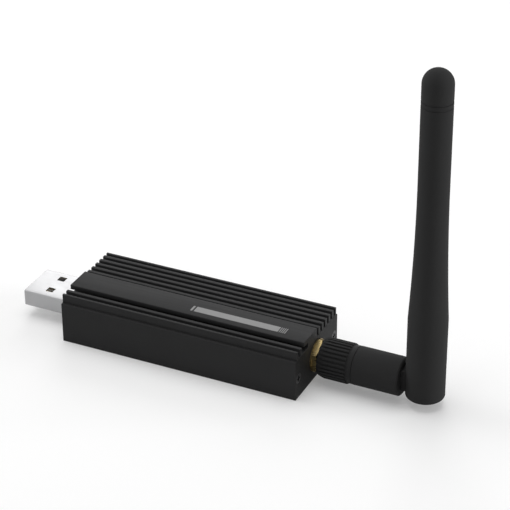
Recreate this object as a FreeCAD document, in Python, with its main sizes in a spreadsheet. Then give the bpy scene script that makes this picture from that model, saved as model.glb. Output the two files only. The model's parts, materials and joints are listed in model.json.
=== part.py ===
import FreeCAD, Part
import math
import os
import re
import Sketcher

# A radio stick for a home network, lying on its underside.
# X runs along the stick, plug at -X and antenna at +X. Y is across it, Z is up.
# The origin is the middle of the case's underside. Lengths are in millimetres.

DOC = FreeCAD.newDocument("radio_stick")
SHEET = DOC.addObject("Spreadsheet::Sheet", "Sizes")

SIZES = [
    # case: a finned cover slides into a U-shaped tray, and two plates close the ends
    ("body_length", 65.7, "case, along X"),
    ("tray_width", 25.5, "tray and end plates, across Y"),
    ("cover_width", 23.9, "cover, across Y"),
    ("ledge_height", 11.1, "top of the tray walls, where the cover rests"),
    ("groove_floor", 0.3, "floor of the fin grooves above the ledge"),
    ("fin_rise", 2.3, "fin tops above the ledge"),
    ("slab_rise", 2.9, "flat strip's top above the ledge"),
    ("channel_roof", 1.65, "underside of the strip's overhang above the ledge"),
    ("front_fin", 0.75, "outermost fin on the front side"),
    ("front_groove", 1.15, "groove behind it"),
    ("second_fin", 1.0, "second fin"),
    ("channel_mouth", 1.3, "open mouth of the undercut channel"),
    ("channel_undercut", 2.4, "how far the channel runs under the flat strip"),
    ("groove_width", 1.05, "each groove of the fin field"),
    ("groove_pitch", 2.09, "from one groove of the field to the next"),
    ("groove_count", 5, "grooves in the field"),
    ("rear_groove", 0.85, "last groove"),
    ("rear_fin", 0.7, "outermost fin on the rear side"),
    ("fin_bevel", 0.12, "bevelled edges of the fin tops"),
    ("slab_bevel", 0.18, "bevelled edges of the flat strip"),
    ("cover_drop", 1.2, "cover's plate below the ledge"),
    ("lip_width", 1.0, "cover's side lips"),
    ("lip_drop", 2.35, "foot of the lips below the ledge"),
    ("key_width", 0.4, "sliding key on each lip"),
    ("key_height", 0.8, "key, up Z"),
    ("key_drop", 1.15, "top of the key below the ledge"),
    ("tray_wall", 1.4, "tray's side walls"),
    ("tray_floor", 1.2, "tray's floor"),
    ("tray_bevel", 0.2, "tray's long outer edges"),
    ("rail_width", 1.35, "rail under each side of the board"),
    ("rail_height", 0.4, "the same, above the floor"),
    ("port_reach", 1.75, "screw channels inwards from the wall"),
    ("port_rise", 1.75, "top of the screw channels above the screws"),
    ("plate_thickness", 1.2, "end plates"),
    ("plate_bevel", 0.2, "corners of the end plates"),
    ("slide_gap", 0.1, "clearance of the cover, the tray and the board"),
    ("screw_height", 5.45, "screws above the underside"),
    ("screw_inset", 1.9, "screws from the tray's sides"),
    ("screw_shank", 1.6, "diameter"),
    ("screw_head", 2.9, "diameter"),
    ("screw_length", 6.0, "from the plate's outer face"),
    ("screw_gap", 0.05, "around shank and head"),
    # board
    ("board_thickness", 1.6, "circuit board"),
    ("board_setback", 0.25, "board's ends from the end plates"),
    ("pad_hole_gap", 0.15, "around each leg in the board"),
    # plug
    ("plug_reach", 15.25, "plug's tip from the case"),
    ("plug_width", 12.0, "steel shell"),
    ("plug_height", 4.5, "steel shell"),
    ("shell_sheet", 0.3, "sheet thickness"),
    ("shell_corner", 0.6, "outer corner radius"),
    ("shell_inside", 2.55, "shell's length behind the end plate"),
    ("plug_gap", 0.2, "around the shell in the end plate"),
    ("window_size", 2.05, "square windows"),
    ("window_start", 5.28, "windows from the tip"),
    ("window_spread", 3.0, "windows from the middle"),
    ("leg_width", 1.2, "shell's solder legs, along X"),
    ("leg_length", 1.85, "legs below the board's top"),
    ("leg_setback", 0.3, "legs from the shell's rear"),
    ("insert_gap", 0.05, "plastic block inside the shell"),
    ("tongue_thick", 1.9, "plastic tongue, up Z"),
    ("tongue_setback", 0.6, "tongue's end from the tip"),
    ("cavity_depth", 11.8, "from the tip to the plastic block"),
    ("contact_width", 1.0, "contact strips"),
    ("contact_sheet", 0.2, "contact strips"),
    ("contact_sink", 0.15, "strips sunk into the tongue"),
    ("contact_inner", 1.0, "inner pair from the middle"),
    ("contact_outer", 3.5, "outer pair from the middle"),
    ("contact_setback", 0.9, "outer pair's ends from the tip"),
    ("contact_stagger", 1.0, "inner pair behind the outer pair"),
    ("tail_reach", 0.6, "tails behind the block"),
    ("tail_foot", 0.9, "soldered feet, along X"),
    # antenna jack
    ("axis_height", 6.05, "jack's axis above the underside"),
    ("thread_size", 6.35, "thread's outer diameter"),
    ("jack_reach", 7.4, "jack's mouth from the case"),
    ("jack_width", 6.2, "jack's block, across Y"),
    ("jack_top", 2.7, "block's top above the axis"),
    ("jack_length", 5.0, "block, along X"),
    ("jack_leg", 1.0, "block's square legs"),
    ("jack_leg_inset", 0.4, "legs from the block's sides"),
    ("plate_hole_gap", 0.125, "around the thread in the end plate"),
    ("mouth_bore", 4.65, "diameter of the jack's mouth"),
    ("mouth_depth", 1.98, "depth of the mouth"),
    ("core_size", 4.2, "jack's plastic core, diameter"),
    ("core_gap", 0.03, "around plastic cores and pressed rings"),
    ("socket_size", 1.27, "socket contact, diameter"),
    ("socket_bore", 0.96, "socket's hole"),
    ("socket_tail", 1.6, "socket's tail behind the block"),
    ("pin_size", 0.9, "plug pin, diameter"),
    ("pin_engage", 1.9, "pin's length in the socket"),
    ("washer_thick", 0.4, "lock washer"),
    ("washer_size", 8.6, "lock washer, diameter"),
    ("hex_across", 8.0, "jack nut over its flats"),
    ("hex_thick", 1.4, "jack nut, along X"),
    ("thread_gap", 0.05, "between thread and nuts"),
    # antenna: coupling nut
    ("nut_gap", 0.2, "between jack nut and coupling nut"),
    ("nut_front", 4.4, "front radius of the coupling nut"),
    ("nut_cone", 1.4, "cone, along X"),
    ("rib_radius", 5.22, "ribbed part"),
    ("rib_length", 6.2, "ribbed part behind the cone"),
    ("rib_count", 30, "ribs around"),
    ("rib_depth", 0.36, "height of the ribs"),
    ("rib_width", 0.6, "ribs, across"),
    ("neck_width", 0.4, "groove behind the ribs, along X"),
    ("collar_radius", 4.92, "smooth collar"),
    ("collar_width", 1.0, "the same, along X"),
    ("nut_back_wall", 1.4, "coupling nut behind its threaded ring"),
    ("ring_radius", 4.0, "threaded ring in the coupling nut"),
    ("ring_lip", 1.0, "ring's lip behind the ferrule's flange"),
    ("ferrule_front", 4.5, "ferrule in the jack's mouth, diameter"),
    ("ferrule_seat", 0.1, "end gap of the ferrule"),
    ("flange_size", 6.2, "ferrule's flange, diameter"),
    ("flange_width", 0.85, "the same, along X"),
    ("flange_gap", 0.1, "end gap behind the flange"),
    ("ferrule_rear", 4.6, "ferrule behind the flange, diameter"),
    ("ferrule_grip", 2.1, "ferrule's length in the barrel"),
    ("ferrule_wall", 0.45, "ferrule's wall"),
    ("turn_gap", 0.1, "ring's lip and nut around the ferrule"),
    # antenna: barrel and hinge
    ("turn_joint", 0.3, "joint between coupling nut and barrel"),
    ("barrel_radius", 4.96, "barrel"),
    ("barrel_length", 12.1, "barrel"),
    ("barrel_chamfer", 0.5, "barrel's far edge"),
    ("hinge_reach", 5.7, "hinge axis from the barrel's face"),
    ("hinge_width", 4.0, "hinge tongue, across Y"),
    ("hinge_radius", 2.9, "hinge tongue, round its axis"),
    ("trunnion_radius", 1.2, "pivots on the tongue's sides"),
    ("trunnion_length", 0.75, "pivots, out of the tongue"),
    ("hinge_gap", 0.1, "beside the tongue and its pivots"),
    ("pivot_gap", 0.07, "around the pivots"),
    ("slot_gap", 0.15, "around the tongue's round end"),
    # antenna: rod
    ("foot_drop", 3.72, "rod's foot below the hinge axis"),
    ("foot_radius", 4.94, "rod's lower part"),
    ("foot_bevel", 0.55, "foot's edge"),
    ("foot_length", 22.1, "straight lower part"),
    ("flare_length", 30.5, "part that narrows in a hollow curve"),
    ("stem_radius", 3.81, "slim part above it, and its dome"),
    ("stem_length", 27.3, "up to the tip's joint"),
    ("tip_length", 4.2, "tip below its dome"),
    ("bore_radius", 2.4, "rod's bore"),
    ("bore_start", 4.6, "bore's floor above the hinge axis"),
    ("spigot_length", 4.2, "tip's spigot in the bore"),
    ("spigot_gap", 0.05, "around the spigot"),
    ("lead_radius", 0.9, "coaxial lead"),
    ("lead_gap", 0.08, "around the lead"),
    ("dipole_outer", 2.2, "lower radiator, radius"),
    ("dipole_sheet", 0.3, "lower radiator's wall"),
    ("dipole_start", 11.5, "lower radiator above the bore's floor"),
    ("dipole_length", 25.0, "lower radiator"),
    ("dipole_crimp", 1.0, "its crimped end"),
    ("wire_radius", 0.5, "upper radiator"),
    ("wire_length", 27.0, "upper radiator"),
    # pieces on the board
    ("can_inset", 19.4, "shield can's middle from the antenna end"),
    ("can_length", 15.0, "shield can, along X"),
    ("can_width", 14.0, "shield can, across Y"),
    ("can_height", 2.4, "shield can"),
    ("can_sheet", 0.2, "shield can's sheet"),
    ("radio_size", 7.0, "radio chip"),
    ("radio_height", 0.85, "radio chip"),
    ("bridge_inset", 14.4, "plug chip's middle from the plug end"),
    ("bridge_size", 5.0, "plug chip"),
    ("bridge_height", 0.9, "plug chip"),
    ("chip_height", 1.1, "regulator"),
    ("crystal_length", 3.2, "crystal"),
    ("crystal_width", 2.5, "crystal"),
    ("crystal_height", 0.7, "crystal"),
    ("small_length", 1.6, "small board pieces"),
    ("small_width", 0.8, "small board pieces"),
    ("small_pitch", 2.2, "between small board pieces"),
]

for line, (word, value, meaning) in enumerate(SIZES, start=1):
    SHEET.set(f"A{line}", meaning)
    SHEET.set(f"B{line}", str(value))
    SHEET.setAlias(f"B{line}", word)
DOC.recompute()

WORDS = re.compile(r"\b(" + "|".join(sorted((row[0] for row in SIZES), key=len, reverse=True)) + r")\b")


def tie(text):
    """Turn a formula of plain size names into one that points at the sheet."""
    return WORDS.sub(r"Sizes.\1", text)


def number(text):
    """Work out a formula of size names."""
    return float(SHEET.evalExpression(tie(text)))


def set_size(item, place, text):
    """Bind one property of an object to a formula."""
    item.setExpression(place, tie(text))


# places that several pieces share
CASE_END = "(body_length / 2)"
PLATE_INNER = "(body_length / 2 - plate_thickness)"
COVER_HALF = "(cover_width / 2)"
TRAY_HALF = "(tray_width / 2)"
TRAY_INNER = "(tray_width / 2 - tray_wall)"
UNDER_HALF = "(tray_width / 2 - tray_wall - slide_gap)"
SCREW_Y = "(tray_width / 2 - screw_inset)"
CAN_X = "(body_length / 2 - can_inset)"
BRIDGE_X = "(bridge_inset - body_length / 2)"
BOARD_FLOOR = "(tray_floor + rail_height)"
BOARD_TOP = "(tray_floor + rail_height + board_thickness)"
BOARD_HALF = "(tray_width / 2 - tray_wall - 3.5 * slide_gap)"
SLAB_REAR = "(cover_width / 2 - rear_fin - rear_groove - groove_pitch * groove_count)"
SLAB_FRONT = "(front_fin + front_groove + second_fin + channel_mouth - cover_width / 2)"
PLUG_TIP = "(-body_length / 2 - plug_reach)"
PLUG_REAR = "(-body_length / 2 + plate_thickness + shell_inside)"
SHELL_FLOOR = f"({BOARD_TOP} + shell_sheet)"
TONGUE_TOP = f"({BOARD_TOP} + shell_sheet + tongue_thick)"
CONTACT_FLOOR = f"({BOARD_TOP} + shell_sheet + tongue_thick - contact_sink)"
JACK_MOUTH = "(body_length / 2 + jack_reach)"
JACK_SEAT = "(body_length / 2 + jack_reach - mouth_depth)"
JACK_BACK = "(body_length / 2 - plate_thickness - jack_length)"
HEX_START = "(body_length / 2 + washer_thick)"
HEX_END = "(body_length / 2 + washer_thick + hex_thick)"
NUT_START = f"({HEX_END} + nut_gap)"
CONE_END = f"({NUT_START} + nut_cone)"
RIB_END = f"({CONE_END} + rib_length)"
NECK_END = f"({RIB_END} + neck_width)"
NUT_END = f"({NECK_END} + collar_width)"
BACK_WALL = f"({NUT_END} - nut_back_wall)"
FLANGE_START = f"({JACK_MOUTH} + ferrule_seat)"
FLANGE_END = f"({FLANGE_START} + flange_width)"
BARREL_START = f"({NUT_END} + turn_joint)"
BARREL_END = f"({BARREL_START} + barrel_length)"
FERRULE_END = f"({BARREL_START} + ferrule_grip)"
HINGE_X = f"({BARREL_END} + hinge_reach)"
SLOT_HALF = "(hinge_width / 2 + hinge_gap)"
SLOT_RADIUS = "(hinge_radius + slot_gap)"
FOOT_TOP = "(foot_length - foot_drop)"
FLARE_TOP = f"({FOOT_TOP} + flare_length)"
TIP_JOINT = f"({FLARE_TOP} + stem_length)"
DOME_START = f"({TIP_JOINT} + tip_length)"
LEAD_TOP = "(bore_start + dipole_start + dipole_length)"


def arc_centre(start, end, locked, place):
    """Find an arc's centre from its ends and one of the centre's two coordinates."""
    middle = ((start[0] + end[0]) / 2, (start[1] + end[1]) / 2)
    chord = (end[0] - start[0], end[1] - start[1])
    if locked == "centre_x":
        return place, middle[1] - (place - middle[0]) * chord[0] / chord[1]
    return middle[0] - (place - middle[1]) * chord[1] / chord[0], place


class Drawing:
    """A sketch on one of a body's own planes, with every corner tied to the sheet."""

    def __init__(self, body, name, role, lift=None):
        self.sketch = body.newObject("Sketcher::SketchObject", name)
        plane = [item for item in body.Origin.OriginFeatures if item.Role == role][0]
        self.sketch.AttachmentSupport = (plane, [""])
        self.sketch.MapMode = "FlatFace"
        if lift is not None:
            set_size(self.sketch, "AttachmentOffset.Base.z", lift)
        self.count = 0

    def hold(self, kind, edge, point, text):
        """Lock a point's distance from the plane's origin, or a circle's radius."""
        value = number(text)
        if kind == "Radius":
            index = self.sketch.addConstraint(Sketcher.Constraint(kind, edge, value))
        else:
            index = self.sketch.addConstraint(Sketcher.Constraint(kind, -1, 1, edge, point, value))
        if WORDS.search(text):
            name = f"{kind.lower()}_{self.count}"
            self.count += 1
            self.sketch.renameConstraint(index, name)
            set_size(self.sketch, f"Constraints.{name}", text)

    def circle(self, across, up, radius):
        """Add a circle."""
        centre = FreeCAD.Vector(number(across), number(up), 0)
        round_line = Part.Circle(centre, FreeCAD.Vector(0, 0, 1), number(radius))
        edge = self.sketch.addGeometry(round_line, False)
        self.hold("DistanceX", edge, 3, across)
        self.hold("DistanceY", edge, 3, up)
        self.hold("Radius", edge, 0, radius)
        return self

    def box(self, left, right, low, high):
        """Add a rectangle."""
        return self.outline([(left, low), (right, low), (right, high), (left, high)])

    def outline(self, corners):
        """Add a closed outline.

        A corner is (x, y), followed by a straight line, or (x, y, "centre_x" or "centre_y",
        place, turn), followed by an arc whose centre has that coordinate; turn is 1 when the
        arc runs anticlockwise and -1 when it runs clockwise.
        """
        spots = [(number(corner[0]), number(corner[1])) for corner in corners]
        edges = []
        for index, corner in enumerate(corners):
            start = spots[index]
            end = spots[(index + 1) % len(spots)]
            if len(corner) == 2:
                shape = Part.LineSegment(FreeCAD.Vector(*start, 0), FreeCAD.Vector(*end, 0))
                ends = (1, 2)
            else:
                centre = arc_centre(start, end, corner[2], number(corner[3]))
                radius = math.hypot(start[0] - centre[0], start[1] - centre[1])
                begin = math.atan2(start[1] - centre[1], start[0] - centre[0])
                finish = math.atan2(end[1] - centre[1], end[0] - centre[0])
                ends = (1, 2)
                if corner[4] < 0:
                    begin, finish = finish, begin
                    ends = (2, 1)
                whole = Part.Circle(FreeCAD.Vector(*centre, 0), FreeCAD.Vector(0, 0, 1), radius)
                shape = Part.ArcOfCircle(whole, begin, finish if finish > begin else finish + 2 * math.pi)
            edges.append((self.sketch.addGeometry(shape, False), ends))
        for index, (edge, ends) in enumerate(edges):
            following, next_ends = edges[(index + 1) % len(edges)]
            self.sketch.addConstraint(Sketcher.Constraint("Coincident", edge, ends[1], following, next_ends[0]))
        for (edge, ends), corner in zip(edges, corners):
            self.hold("DistanceX", edge, ends[0], corner[0])
            self.hold("DistanceY", edge, ends[0], corner[1])
            if len(corner) > 2:
                kind = "DistanceX" if corner[2] == "centre_x" else "DistanceY"
                self.hold(kind, edge, 3, corner[3])
        return self


def new_body(name):
    """Start one piece."""
    body = DOC.addObject("PartDesign::Body", name)
    body.Label = name
    return body


def finish_feature(body, feature, drawing, length, way):
    """Set a feature's drawing, length and side, and check that it changed the piece."""
    before = body.Shape.Volume if not body.Shape.isNull() else 0.0
    feature.Profile = (drawing.sketch, [""])
    if length == "through":
        feature.Type = "ThroughAll"
    else:
        set_size(feature, "Length", length)
    if way == "both":
        feature.SideType = "Symmetric"
    else:
        cutting = feature.TypeId == "PartDesign::Pocket"
        feature.Reversed = (way == "forward") if cutting else (way == "back")
    DOC.recompute()
    if abs(feature.Shape.Volume - before) < 1e-6:
        raise ValueError(f"{feature.Name} changed nothing")
    return feature


def pad(body, name, drawing, length, way="forward"):
    """Raise a drawing into a solid, along the plane's normal, against it or to both sides."""
    return finish_feature(body, body.newObject("PartDesign::Pad", name), drawing, length, way)


def pocket(body, name, drawing, length, way="forward"):
    """Cut a drawing out of the piece."""
    return finish_feature(body, body.newObject("PartDesign::Pocket", name), drawing, length, way)


def turn(body, name, drawing, axis="H_Axis", kind="PartDesign::Revolution"):
    """Turn a drawing round one of its sketch's axes, as a solid or as a cut."""
    before = body.Shape.Volume if not body.Shape.isNull() else 0.0
    feature = body.newObject(kind, name)
    feature.Profile = (drawing.sketch, [""])
    feature.ReferenceAxis = (drawing.sketch, [axis])
    feature.Angle = 360
    DOC.recompute()
    if abs(feature.Shape.Volume - before) < 1e-6:
        raise ValueError(f"{feature.Name} changed nothing")
    return feature


def origin_part(body, role):
    """Give one axis or plane of a body's origin."""
    return [item for item in body.Origin.OriginFeatures if item.Role == role][0]


def repeat_round(body, name, feature, count):
    """Repeat a feature evenly round the piece's X axis."""
    pattern = body.newObject("PartDesign::PolarPattern", name)
    pattern.Originals = [feature]
    pattern.Axis = (origin_part(body, "X_Axis"), [""])
    pattern.Angle = 360
    set_size(pattern, "Occurrences", count)
    body.Tip = pattern
    DOC.recompute()
    return pattern


def pick_edges(shape, test):
    """Name the edges that pass a test on the edge and its middle."""
    names = []
    for index, edge in enumerate(shape.Edges, start=1):
        middle = edge.valueAt((edge.FirstParameter + edge.LastParameter) / 2)
        if test(edge, middle):
            names.append(f"Edge{index}")
    return names


def along(edge, axis):
    """Tell whether an edge is straight and runs along X, Y or Z."""
    if edge.Curve.TypeId != "Part::GeomLine":
        return False
    return abs(edge.tangentAt(edge.FirstParameter)[axis]) > 0.999


def near(one, other):
    """Tell whether two lengths are the same."""
    return abs(one - other) < 1e-4


def dress(body, name, kind, test, size):
    """Round or chamfer the edges that pass a test."""
    base = body.Tip
    edges = pick_edges(base.Shape, test)
    if not edges:
        raise ValueError(f"{name} found no edge")
    feature = body.newObject(kind, name)
    feature.Base = (base, edges)
    set_size(feature, "Radius" if kind.endswith("Fillet") else "Size", size)
    body.Tip = feature
    DOC.recompute()
    return feature


def block(name, middle, spans, floor):
    """Make a plain block from its middle in X and Y, its spans and its floor."""
    item = DOC.addObject("Part::Box", name)
    item.Label = name
    set_size(item, "Length", spans[0])
    set_size(item, "Width", spans[1])
    set_size(item, "Height", spans[2])
    set_size(item, "Placement.Base.x", f"{middle[0]} - ({spans[0]}) / 2")
    set_size(item, "Placement.Base.y", f"{middle[1]} - ({spans[1]}) / 2")
    set_size(item, "Placement.Base.z", floor)
    return item


def group(name, items):
    """Gather several solids into one piece."""
    item = DOC.addObject("Part::Compound", name)
    item.Label = name
    item.Links = items
    return item


def mirror_piece(name, source, normal):
    """Copy a whole piece to the other side of the middle."""
    item = DOC.addObject("Part::Mirroring", name)
    item.Source = source
    item.Base = FreeCAD.Vector(0, 0, 0)
    item.Normal = normal
    return item


ALONG_X = FreeCAD.Vector(1, 0, 0)
ALONG_Y = FreeCAD.Vector(0, 1, 0)


def make_finned_cover():
    """Extruded cover: fins, flat strip over an undercut channel, and lips with sliding keys."""
    body = new_body("finned_cover")
    fin_top = "ledge_height + fin_rise"
    floor = "ledge_height + groove_floor"
    second = "front_fin + front_groove - cover_width / 2"
    channel = "front_fin + front_groove + second_fin - cover_width / 2"
    field_end = f"{COVER_HALF} - rear_fin - rear_groove"
    profile = Drawing(body, "cover_profile", "YZ_Plane").outline([
        ("-cover_width / 2", "ledge_height"),
        (COVER_HALF, "ledge_height"),
        (COVER_HALF, fin_top),
        (f"{COVER_HALF} - rear_fin", fin_top),
        (f"{COVER_HALF} - rear_fin", floor),
        (field_end, floor),
        (field_end, fin_top),
        (SLAB_REAR, fin_top),
        (SLAB_REAR, "ledge_height + slab_rise"),
        (SLAB_FRONT, "ledge_height + slab_rise"),
        (SLAB_FRONT, "ledge_height + channel_roof"),
        (f"{SLAB_FRONT} + channel_undercut", "ledge_height + channel_roof"),
        (f"{SLAB_FRONT} + channel_undercut", floor),
        (channel, floor),
        (channel, fin_top),
        (second, fin_top),
        (second, floor),
        ("front_fin - cover_width / 2", floor),
        ("front_fin - cover_width / 2", fin_top),
        ("-cover_width / 2", fin_top),
    ])
    pad(body, "cover_extrusion", profile, "body_length", "both")
    groove = Drawing(body, "field_groove", "YZ_Plane").box(
        SLAB_REAR, f"{SLAB_REAR} + groove_width", floor, "ledge_height + slab_rise + 1")
    first = pocket(body, "field_cut", groove, "body_length + 2", "both")
    pattern = body.newObject("PartDesign::LinearPattern", "field_pattern")
    pattern.Originals = [first]
    pattern.Direction = (origin_part(body, "Y_Axis"), [""])
    set_size(pattern, "Length", "groove_pitch * (groove_count - 1)")
    set_size(pattern, "Occurrences", "groove_count")
    body.Tip = pattern
    DOC.recompute()
    keyed = "ledge_height - key_drop"
    side = [
        (UNDER_HALF, "ledge_height"),
        (UNDER_HALF, keyed),
        (f"{UNDER_HALF} + key_width", keyed),
        (f"{UNDER_HALF} + key_width", f"{keyed} - key_height"),
        (UNDER_HALF, f"{keyed} - key_height"),
        (UNDER_HALF, "ledge_height - lip_drop"),
        (f"{UNDER_HALF} - lip_width", "ledge_height - lip_drop"),
        (f"{UNDER_HALF} - lip_width", "ledge_height - cover_drop"),
    ]
    other = [(f"-({across})", up) for across, up in side]
    under = Drawing(body, "under_profile", "YZ_Plane").outline(side + other[::-1])
    pad(body, "under_plate", under, f"2 * {PLATE_INNER} - slide_gap", "both")
    tops = (number(fin_top), number("ledge_height + slab_rise"))
    slab_sides = (number(SLAB_FRONT), number(SLAB_REAR))
    dress(body, "strip_edges", "PartDesign::Chamfer",
          lambda edge, at: along(edge, 0) and near(at.z, tops[1])
          and (near(at.y, slab_sides[0]) or near(at.y, slab_sides[1])), "slab_bevel")
    dress(body, "fin_edges", "PartDesign::Chamfer",
          lambda edge, at: along(edge, 0) and near(at.z, tops[0]) and not near(at.y, slab_sides[1]), "fin_bevel")
    return body


def many_sided(radius, across="0", up="0", sides=8):
    """Corners of a regular polygon inside a circle."""
    angles = [2 * math.pi * (index + 0.5) / sides for index in range(sides)]
    return [(f"{across} + ({radius}) * {math.cos(angle):.6f}", f"{up} + ({radius}) * {math.sin(angle):.6f}")
            for angle in angles]


def screw_holes(drawing):
    """Add the two holes for the shanks of an end's screws."""
    for across in (SCREW_Y, f"-{SCREW_Y}"):
        drawing.outline(many_sided("screw_shank / 2 + screw_gap", across, "screw_height"))


def make_case_tray():
    """Extruded tray: walls grooved for the cover's keys, screw channels and board rails."""
    body = new_body("case_tray")
    keyed = "ledge_height - key_drop + slide_gap"
    port_floor = f"{BOARD_TOP} + slide_gap"
    port_top = "screw_height + port_rise"
    side = [
        (TRAY_HALF, "0"),
        (TRAY_HALF, "ledge_height"),
        (TRAY_INNER, "ledge_height"),
        (TRAY_INNER, keyed),
        (f"{UNDER_HALF} + key_width + 2 * slide_gap", keyed),
        (f"{UNDER_HALF} + key_width + 2 * slide_gap", f"{keyed} - key_height - 2 * slide_gap"),
        (TRAY_INNER, f"{keyed} - key_height - 2 * slide_gap"),
        (TRAY_INNER, port_top),
        (f"{TRAY_INNER} - port_reach", port_top),
        (f"{TRAY_INNER} - port_reach", port_floor),
        (TRAY_INNER, port_floor),
        (TRAY_INNER, BOARD_FLOOR),
        (f"{TRAY_INNER} - rail_width", BOARD_FLOOR),
        (f"{TRAY_INNER} - rail_width", "tray_floor"),
    ]
    other = [(f"-({across})", up) for across, up in side]
    profile = Drawing(body, "tray_profile", "YZ_Plane").outline(side + other[::-1])
    screw_holes(profile)
    pad(body, "tray_extrusion", profile, f"2 * {PLATE_INNER}", "both")
    half = number(TRAY_HALF)
    dress(body, "tray_edges", "PartDesign::Chamfer",
          lambda edge, at: along(edge, 0) and near(abs(at.y), half), "tray_bevel")
    return body


def make_end_plate(name, way, cut_window):
    """Flat end plate with two countersunk screw holes and its own opening."""
    body = new_body(name)
    lift = PLATE_INNER if way == "forward" else f"-{PLATE_INNER}"
    face = Drawing(body, f"{name}_outline", "YZ_Plane", lift).box("-tray_width / 2", TRAY_HALF, "0", "ledge_height")
    pad(body, f"{name}_plate", face, "plate_thickness", way)
    half = number(TRAY_HALF)
    ledge = number("ledge_height")
    dress(body, f"{name}_edges", "PartDesign::Chamfer",
          lambda edge, at: along(edge, 0) and near(abs(at.y), half) and (near(at.z, 0) or near(at.z, ledge)),
          "plate_bevel")
    opening = Drawing(body, f"{name}_opening", "YZ_Plane", lift)
    cut_window(opening)
    screw_holes(opening)
    pocket(body, f"{name}_holes", opening, "plate_thickness", way)
    outer = number(CASE_END)
    spread = number(SCREW_Y)
    high = number("screw_height")
    shank = number("screw_shank")
    dress(body, f"{name}_sinks", "PartDesign::Chamfer",
          lambda edge, at: near(abs(at.x), outer) and math.hypot(abs(at.y) - spread, at.z - high) < shank,
          "(screw_head - screw_shank) / 2")
    return body


def make_plates():
    """Both end plates: a window for the plug, a round hole for the jack."""
    def plug_window(drawing):
        drawing.box("-plug_width / 2 - plug_gap", "plug_width / 2 + plug_gap",
                    f"{BOARD_TOP} - plug_gap", f"{BOARD_TOP} + plug_height + plug_gap")

    def jack_hole(drawing):
        drawing.circle("0", "axis_height", "thread_size / 2 + plate_hole_gap")

    return [make_end_plate("usb_end_plate", "back", plug_window),
            make_end_plate("antenna_end_plate", "forward", jack_hole)]


def make_case_screws():
    """Four countersunk screws of few sides: a bevelled head on a shank."""
    body = new_body("end_screw")
    seat = "(screw_head - screw_shank) / 2"
    head = Drawing(body, "screw_head_face", "YZ_Plane").outline(many_sided("screw_head / 2"))
    pad(body, "screw_head_pad", head, f"{seat} + screw_gap / 2", "back")
    back = -number(f"{seat} + screw_gap / 2")
    dress(body, "screw_cone", "PartDesign::Chamfer", lambda edge, at: near(at.x, back), seat)
    shank = Drawing(body, "screw_shank_face", "YZ_Plane").outline(many_sided("screw_shank / 2"))
    pad(body, "screw_shank_pad", shank, "screw_length", "back")
    set_size(body, "Placement.Base.x", CASE_END)
    set_size(body, "Placement.Base.y", SCREW_Y)
    set_size(body, "Placement.Base.z", "screw_height")
    pair = group("screw_pair", [body, mirror_piece("screw_front", body, ALONG_Y)])
    return group("case_screws", [pair, mirror_piece("screw_pair_plug", pair, ALONG_X)])


def make_circuit_board():
    """Board on the tray's rails, with holes for the legs of the plug and the jack."""
    body = new_body("circuit_board")
    ends = f"({PLATE_INNER} - board_setback)"
    outline = Drawing(body, "board_outline", "XY_Plane", BOARD_FLOOR).box(f"-{ends}", ends, f"-{BOARD_HALF}", BOARD_HALF)
    pad(body, "board_plate", outline, "board_thickness")
    holes = Drawing(body, "board_holes", "XY_Plane", BOARD_FLOOR)
    rear = f"({PLUG_REAR} - leg_setback)"
    wall = "(plug_width / 2)"
    for sign in ("", "-"):
        inner = f"{sign}({wall} - shell_sheet - pad_hole_gap)"
        outer = f"{sign}({wall} + pad_hole_gap)"
        low, high = (inner, outer) if sign == "" else (outer, inner)
        holes.box(f"{rear} - leg_width - pad_hole_gap", f"{rear} + pad_hole_gap", low, high)
    for near_x in (f"{JACK_BACK} + jack_leg_inset + jack_leg / 2",
                   f"{PLATE_INNER} - jack_leg_inset - jack_leg / 2"):
        for sign in ("", "-"):
            middle = f"{sign}(jack_width / 2 - jack_leg_inset - jack_leg / 2)"
            span = "(jack_leg / 2 + pad_hole_gap)"
            holes.box(f"{near_x} - {span}", f"{near_x} + {span}", f"{middle} - {span}", f"{middle} + {span}")
    pocket(body, "board_hole_cut", holes, "board_thickness", "forward")
    return body


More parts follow.
